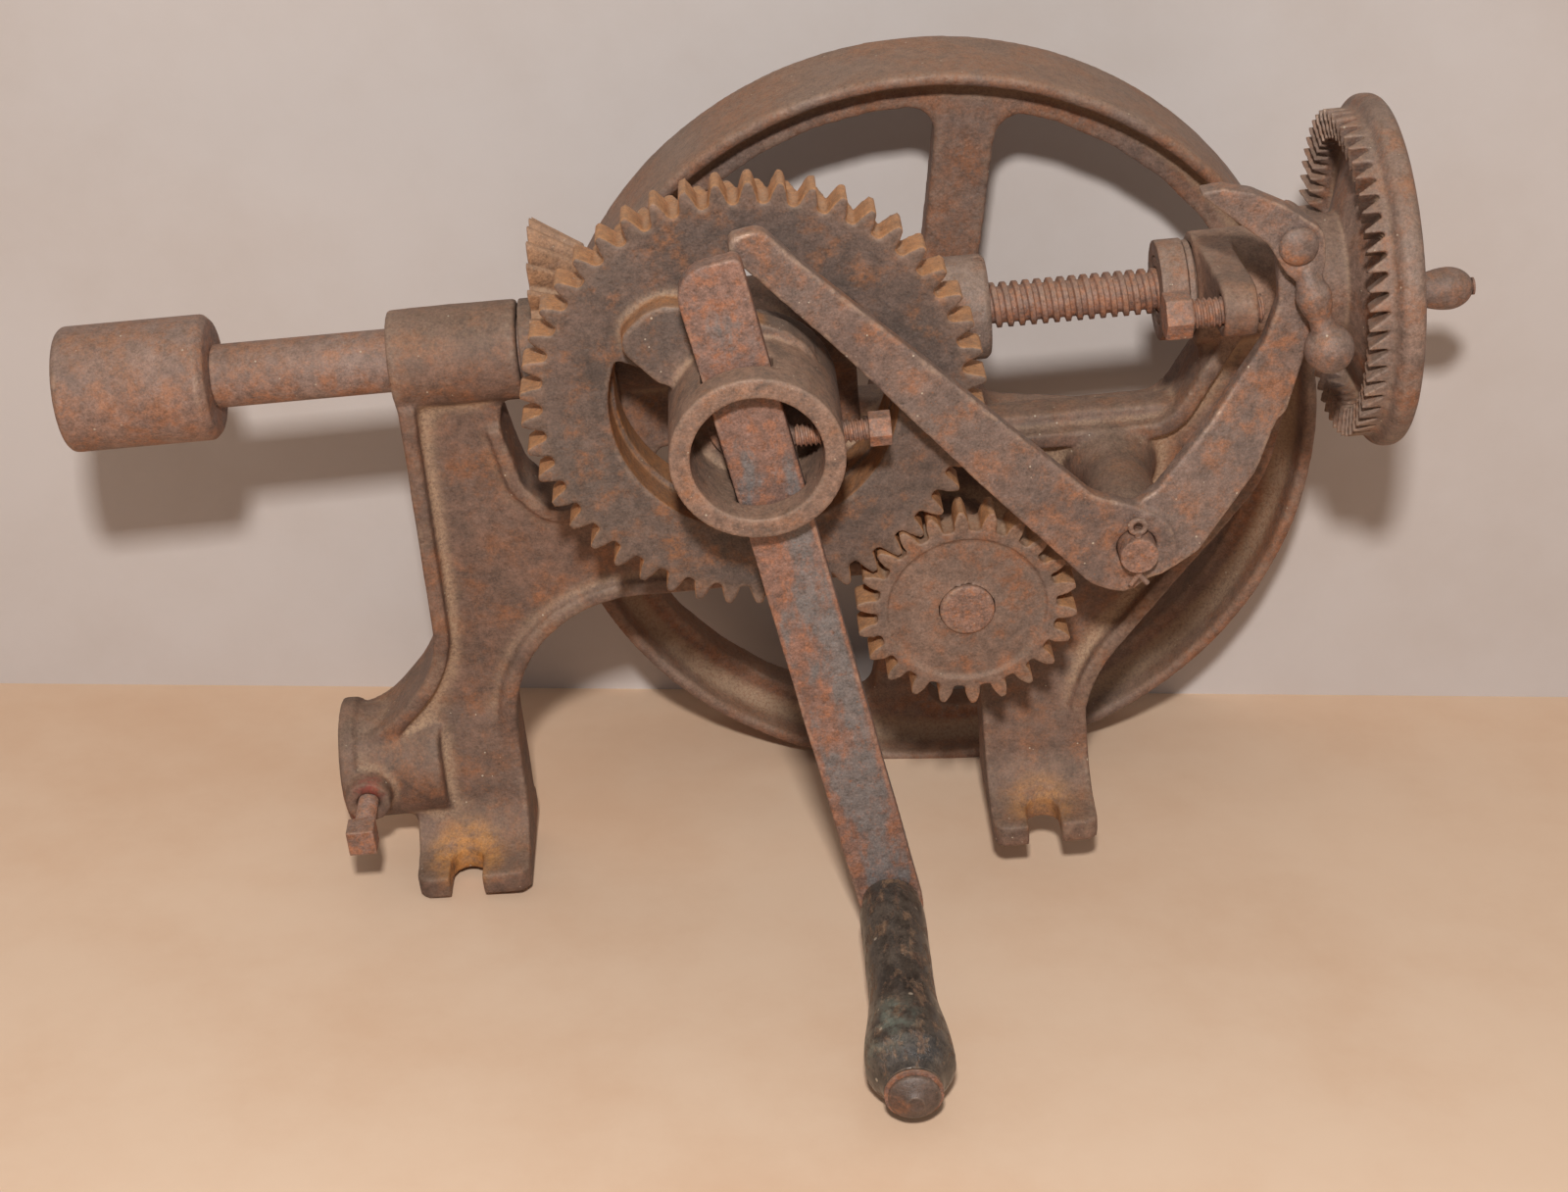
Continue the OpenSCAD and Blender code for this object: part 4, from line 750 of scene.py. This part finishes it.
def neighbour_mean(mesh):
    """Function that gives, for values at the points, the mean of each point's neighbours."""
    count = len(mesh.vertices)
    ends = np.empty(len(mesh.edges) * 2, dtype=np.int32)
    mesh.edges.foreach_get("vertices", ends)
    first, second = ends.reshape(-1, 2).T
    degree = np.maximum(np.bincount(ends, minlength=count), 1)[:, None]

    def mean(values):
        return np.stack([np.bincount(first, column[second], count) + np.bincount(second, column[first], count)
                         for column in values.T], axis=1) / degree
    return mean


# %% [markdown]
# In an inner corner the neighbours of a point lie in front of it, and behind it at an
# outer edge. Moving only the points whose neighbours lie in front fills the corner, a
# little each round, until it is a hollow of the wanted radius. That is what a moulder's
# fillet does to a casting, and holes wider than the fillet keep their size.

# %% Fillets, relief and skin


def fill_hollows(piece, radius, rounds):
    """Turn inner corners into hollows of at least the radius."""
    mesh = piece.data
    mean, points = neighbour_mean(mesh), points_of(mesh)
    spacing = math.sqrt(sum(p.area for p in mesh.polygons) / len(mesh.polygons))
    enough = spacing / (4 * radius)
    for step in range(rounds):
        if step % 8 == 0:
            move_points(mesh, points)
            normals = normals_of(mesh)
        bend = ((mean(points) - points) * normals).sum(axis=1) / spacing
        points += normals * (np.clip(bend - enough, 0, 0.5) * spacing * 0.8)[:, None]
    for _ in range(2):
        points += (mean(points) - points) * 0.5
    move_points(mesh, points)


def standing_out(mesh, rounds, full):
    """How far each point stands out of its smoothed surroundings, 1 at full metres."""
    mean, points = neighbour_mean(mesh), points_of(mesh)
    calm = points.copy()
    for _ in range(rounds):
        calm = mean(calm)
    return ((points - calm) * normals_of(mesh)).sum(axis=1) / full


def write_masks(mesh, relief, hollow):
    """Store both masks with the mesh's points, where the finishes read them."""
    for label, values in (("relief", relief), ("hollow", hollow)):
        store = mesh.attributes.new(label, "FLOAT", "POINT")
        store.data.foreach_set("value", np.asarray(values, dtype=np.float32))


def thin_out(piece, limit):
    """Fewer triangles where a piece is flat; each point keeps the masks of the nearest old one."""
    mesh = piece.data
    triangles = sum(len(p.vertices) - 2 for p in mesh.polygons)
    relief, hollow = standing_out(mesh, 8, 0.0007), -standing_out(mesh, 45, 0.0028)
    if triangles > limit:
        finder = KDTree(len(mesh.vertices))
        for index, vertex in enumerate(mesh.vertices):
            finder.insert(vertex.co, index)
        finder.balance()
        thin = piece.modifiers.new("thin", "DECIMATE")
        thin.ratio = limit / triangles
        settle(piece)
        nearest = [finder.find(vertex.co)[1] for vertex in piece.data.vertices]
        relief, hollow = relief[nearest], hollow[nearest]
    write_masks(piece.data, relief, hollow)


slot_of = {part["node"]: part["material_slot"] for part in frame["record"]["subparts"]}


def finish_piece(piece, material, *nodes):
    """Give a piece its material and the body of the CAD nodes it stands for, and hide those nodes."""
    piece.data.materials.clear()
    piece.data.materials.append(material)
    piece.data.shade_smooth()
    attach(piece, frame["nodes"][nodes[0]]["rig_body"])
    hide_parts(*nodes)
    print("%-18s %7d triangles" % (piece.name, sum(len(p.vertices) - 2 for p in piece.data.polygons)))
    return piece


def new_skin(piece, voxel, rounding):
    """Cover a closed mesh with small even faces and round its edges."""
    skin = piece.modifiers.new("skin", "REMESH")
    skin.mode = "VOXEL"
    skin.voxel_size = voxel
    skin.use_smooth_shade = True
    relax = piece.modifiers.new("relax", "SMOOTH")
    relax.factor = 0.5
    relax.iterations = rounding
    return settle(piece)


def cast_skin(node, material, voxel, rounding=3, fillet=None, ripple=0.0, limit=190000):
    """Rounded copy of a CAD node that takes its place on the drill."""
    piece = new_skin(copy_of(node, node + "_skin"), voxel, rounding)
    if fillet:
        fill_hollows(piece, fillet, 60)
    if ripple:
        texture = bpy.data.textures.new(node + "_ripple", "CLOUDS")
        texture.noise_scale = 0.03
        texture.noise_depth = 3
        wave = piece.modifiers.new("ripple", "DISPLACE")
        wave.texture = texture
        wave.texture_coords = "LOCAL"
        wave.strength = ripple
        wave.mid_level = 1.0
        settle(piece)
    thin_out(piece, limit)
    return finish_piece(piece, material, node)


# %% [markdown]
# ### Frame
#
# One C-shaped casting carries everything. Its web is a thick plate, and flanges run
# along its outline like those of a girder, with bosses for the shafts, a socket for the
# table's arm and two slotted feet.

# %% Frame casting
cast_skin("frame_casting", frame_iron, 0.0014, rounding=4, fillet=0.007, ripple=0.0008)

# %% [markdown]
# ### Gears
#
# The crank gear, its bevel ring, its hub and the snail cam are one casting. Its teeth
# stay crisper than the frame, so its skin is finer and relaxed less.

# %% Crank gear, pinion and bevel gear
cast_skin("crank_gear", crank_gear_iron, 0.0010, rounding=3, ripple=0.0004)
cast_skin("pinion", pinion_iron, 0.0008, rounding=3, ripple=0.0004, limit=110000)
cast_skin("bevel_gear", bevel_iron, 0.0008, rounding=3, ripple=0.0004, limit=110000)

# %% [markdown]
# ### Flywheel and feed wheel
#
# The flywheel keeps the drill turning between strokes of the crank. The feed wheel at
# the top turns on the feed screw, and the pawl pushes its crown of ratchet teeth.

# %% Flywheel and feed wheel
cast_skin("flywheel", wheel_iron, 0.0017, rounding=4, fillet=0.008, ripple=0.0006)
cast_skin("feed_wheel", feed_wheel_iron, 0.0008, rounding=2, ripple=0.0003)

# %% [markdown]
# ### Lever and pawl
#
# The bell crank rides on the snail cam with its long arm and pushes the pawl with its
# short one. Both were cast and then handled for years, so their edges are paler than
# their sides.

# %% Lever and pawl
cast_skin("feed_lever", lever_steel, 0.0009, rounding=14, fillet=0.004, ripple=0.0005, limit=120000)
cast_skin("feed_pawl", lever_steel, 0.0006, rounding=8, fillet=0.004, ripple=0.0003, limit=80000)

# %% [markdown]
# ### Turned and small parts
#
# The chuck, the spindle, the collar, the pins and the knob were turned on a lathe. They
# get the same skin, only finer, because their edges were broken by less.

# %% Turned parts
for node, material, voxel in [("chuck", rusty_steel, 0.0010), ("spindle", rusty_steel, 0.0009),
                              ("thrust_head", bearing_iron, 0.0008), ("retaining_collar", bearing_iron, 0.0006),
                              ("feed_bushing", bearing_iron, 0.0006), ("flywheel_shaft", shaft_steel, 0.0008),
                              ("lever_pivot_pin", shaft_steel, 0.0005), ("wheel_knob", lever_steel, 0.0005),
                              ("pawl_rivet", lever_steel, 0.0004), ("grip_bolt", bolt_steel, 0.0006)]:
    cast_skin(node, material, voxel, rounding=3, limit=60000)

# %% [markdown]
# ### Crank
#
# A flat bar passes through the hub and is held by a set screw, so the crank's length
# can be set. Its wooden grip turns on a bolt.

# %% Crank bar and grip
cast_skin("crank_bar", bar_steel, 0.0008, rounding=3, ripple=0.0006, limit=120000)
cast_skin("crank_grip", grip_varnish, 0.0007, rounding=4, ripple=0.0012, limit=120000)

# %% [markdown]
# ## Screws
#
# A screw thread is a rule, and Geometry Nodes can follow it. The tree starts from a
# plain cylinder with many rings. At each point it compares the height with the turn
# round the axis: the fraction left over after dividing by the pitch says whether the
# point lies on the crest, on a flank or in the groove, and moves it in or out.

# %% Geometry Nodes tree for a screw thread


def thread_tree():
    """Tree with named inputs that cuts a right-hand thread into a cylinder along Z."""
    tree = bpy.data.node_groups.new("screw_thread", "GeometryNodeTree")
    for label, kind, value in [("Length", FLOAT, 0.1), ("Crest Radius", FLOAT, 0.01), ("Depth", FLOAT, 0.002),
                               ("Pitch", FLOAT, 0.005), ("Crest Share", FLOAT, 0.5), ("Flank", FLOAT, 0.06),
                               ("Rings", "NodeSocketInt", 400), ("Round", "NodeSocketInt", 48),
                               ("Finish", "NodeSocketMaterial", None)]:
        socket = tree.interface.new_socket(name=label, in_out="INPUT", socket_type=kind)
        if value is not None:
            socket.default_value = value
    tree.interface.new_socket(name="Geometry", in_out="OUTPUT", socket_type="NodeSocketGeometry")
    entry = tree.nodes.new("NodeGroupInput").outputs
    leave = tree.nodes.new("NodeGroupOutput").inputs
    bar = put(tree, "GeometryNodeMeshCylinder", Vertices=entry["Round"], Side_Segments=entry["Rings"],
              Radius=entry["Crest Radius"], Depth=entry["Length"])
    xyz = put(tree, "ShaderNodeSeparateXYZ", Vector=put(tree, "GeometryNodeInputPosition").outputs[0]).outputs
    turn = maths(tree, "DIVIDE", maths(tree, "ARCTAN2", xyz["Y"], xyz["X"]), 2 * math.pi)
    climb = maths(tree, "DIVIDE", xyz["Z"], entry["Pitch"])
    share = maths(tree, "FRACT", maths(tree, "SUBTRACT", climb, turn))
    from_crest = maths(tree, "ABSOLUTE", maths(tree, "SUBTRACT", share, 0.5))
    half = maths(tree, "MULTIPLY", entry["Crest Share"], 0.5)
    groove = ramp(tree, from_crest, maths(tree, "SUBTRACT", half, entry["Flank"]),
                  maths(tree, "ADD", half, entry["Flank"]))
    inward = maths(tree, "MULTIPLY", maths(tree, "MULTIPLY", groove, entry["Depth"]), -1.0)
    outward = put(tree, "ShaderNodeVectorMath", {"operation": "NORMALIZE"})
    wire(tree, put(tree, "ShaderNodeCombineXYZ", X=xyz["X"], Y=xyz["Y"]).outputs[0], outward.inputs[0])
    shift = put(tree, "ShaderNodeVectorMath", {"operation": "SCALE"}, Scale=inward)
    wire(tree, outward.outputs[0], shift.inputs[0])
    cut = put(tree, "GeometryNodeSetPosition", Geometry=bar.outputs["Mesh"], Offset=shift.outputs[0])
    real = put(tree, "GeometryNodeRealizeInstances", Geometry=cut.outputs[0])
    done = put(tree, "GeometryNodeSetMaterial", Geometry=real.outputs[0], Material=entry["Finish"])
    wire(tree, done.outputs[0], leave["Geometry"])
    return tree


thread = thread_tree()


def cut_thread(name, place, **sizes):
    """Threaded bar as a plain mesh, turned and placed by a matrix."""
    piece = bpy.data.objects.new(name, bpy.data.meshes.new(name))
    bpy.context.scene.collection.objects.link(piece)
    modifier = piece.modifiers.new("thread", "NODES")
    modifier.node_group = thread
    for item in thread.interface.items_tree:
        key = item.name.lower().replace(" ", "_")
        if item.in_out == "INPUT" and key in sizes:
            modifier[item.identifier] = sizes[key]
    settle(piece)
    piece.data.transform(place)
    return piece


# %% [markdown]
# ### Feed screw
#
# The coarse square thread pushes the drill down 5 mm for each turn of the feed wheel.

# %% Feed screw
low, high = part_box("feed_screw")
FEED_PITCH = 0.00508
JOURNAL = 0.007
screw_length = high[2] - low[2] - JOURNAL
axis_x, axis_y = (low[0] + high[0]) / 2, (low[1] + high[1]) / 2
feed_screw = cut_thread(
    "feed_screw_thread", Matrix.Translation((axis_x, axis_y, low[2] + JOURNAL + screw_length / 2)),
    length=screw_length, crest_radius=(high[0] - low[0]) / 2, depth=0.4 * FEED_PITCH, pitch=FEED_PITCH,
    crest_share=0.52, rings=int(screw_length / FEED_PITCH * 16), round=60, finish=screw_steel)
write_masks(feed_screw.data, standing_out(feed_screw.data, 4, 0.0004), -standing_out(feed_screw.data, 12, 0.0010))
finish_piece(feed_screw, screw_steel, "feed_screw")

# %% [markdown]
# ### Set screws and the adjusting screw
#
# These have a finer thread and a head for a spanner. The head comes from the CAD node.
# Its plain shank is slimmed to the bottom of the thread, the head's edges are rounded
# by a new skin, and the thread is laid round the shank.

# %% Screws with a head


def headed_screw(node, axis, shank_radius, start, end, pitch, voxel=0.0005):
    """CAD screw with a rounded head and a thread from start to end along its axis."""
    piece = copy_of(node, node + "_skin")
    low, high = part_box(node)
    middle = (np.array(low) + np.array(high)) / 2
    across = [k for k in range(3) if k != axis]
    points = points_of(piece.data)
    offset = points[:, across] - middle[across]
    shank = np.linalg.norm(offset, axis=1) < shank_radius + 0.0001
    depth = 0.45 * pitch
    points[np.ix_(shank, across)] = middle[across] + offset[shank] * (1 - depth / shank_radius)
    move_points(piece.data, points)
    new_skin(piece, voxel, 3)
    place = middle.copy()
    place[axis] = (start + end) / 2
    turned = Matrix.Rotation(math.pi / 2, 4, "Y") if axis == 0 else Matrix.Identity(4)
    winding = cut_thread(node + "_thread", Matrix.Translation(place) @ turned, length=end - start,
                         crest_radius=shank_radius, depth=depth, pitch=pitch, crest_share=0.4, flank=0.18,
                         rings=int((end - start) / pitch * 12), round=32, finish=screw_steel)
    with bpy.context.temp_override(active_object=piece, object=piece, selected_objects=[piece, winding],
                                   selected_editable_objects=[piece, winding]):
        bpy.ops.object.join()
    write_masks(piece.data, standing_out(piece.data, 5, 0.0004), -standing_out(piece.data, 20, 0.0012))
    return finish_piece(piece, screw_steel, node)


# node, axis, shank radius, plain length below and above the thread, pitch
for node, axis, shank_radius, plain_low, plain_high, pitch in [
        ("adjusting_screw", 2, 0.00635, 0.0115, 0.0005, 0.0024),
        ("bar_set_screw", 2, 0.00475, 0.0005, 0.0095, 0.0020),
        ("arm_set_screw", 0, 0.00475, 0.0005, 0.0125, 0.0020),
        ("chuck_set_screw", 0, 0.0040, 0.0085, 0.0005, 0.0018)]:
    low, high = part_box(node)
    headed_screw(node, axis, shank_radius, low[axis] + plain_low, high[axis] - plain_high, pitch)

# %% [markdown]
# ## Pieces that keep their CAD shape
#
# Keys, washers, split pins and studs are right as they are. They only need their
# finish. The knob's stud runs so close in the knob that a skin would make them touch.

# %% Finishes on the CAD nodes
SLOT_FINISH = {"frame_iron": frame_iron, "gear_iron": bearing_iron, "wheel_iron": wheel_iron,
               "bearing_iron": bearing_iron, "steel": steel_plain, "rusty_steel": screw_steel,
               "bar_steel": bar_steel, "lever_steel": lever_steel, "grip_wood": grip_varnish}
for node, part in frame["nodes"].items():
    if not part.hide_render:
        part.data.materials.clear()
        part.data.materials.append(SLOT_FINISH[slot_of[node]])
print("CAD nodes shown:", sorted(n for n, o in frame["nodes"].items() if not o.hide_render))
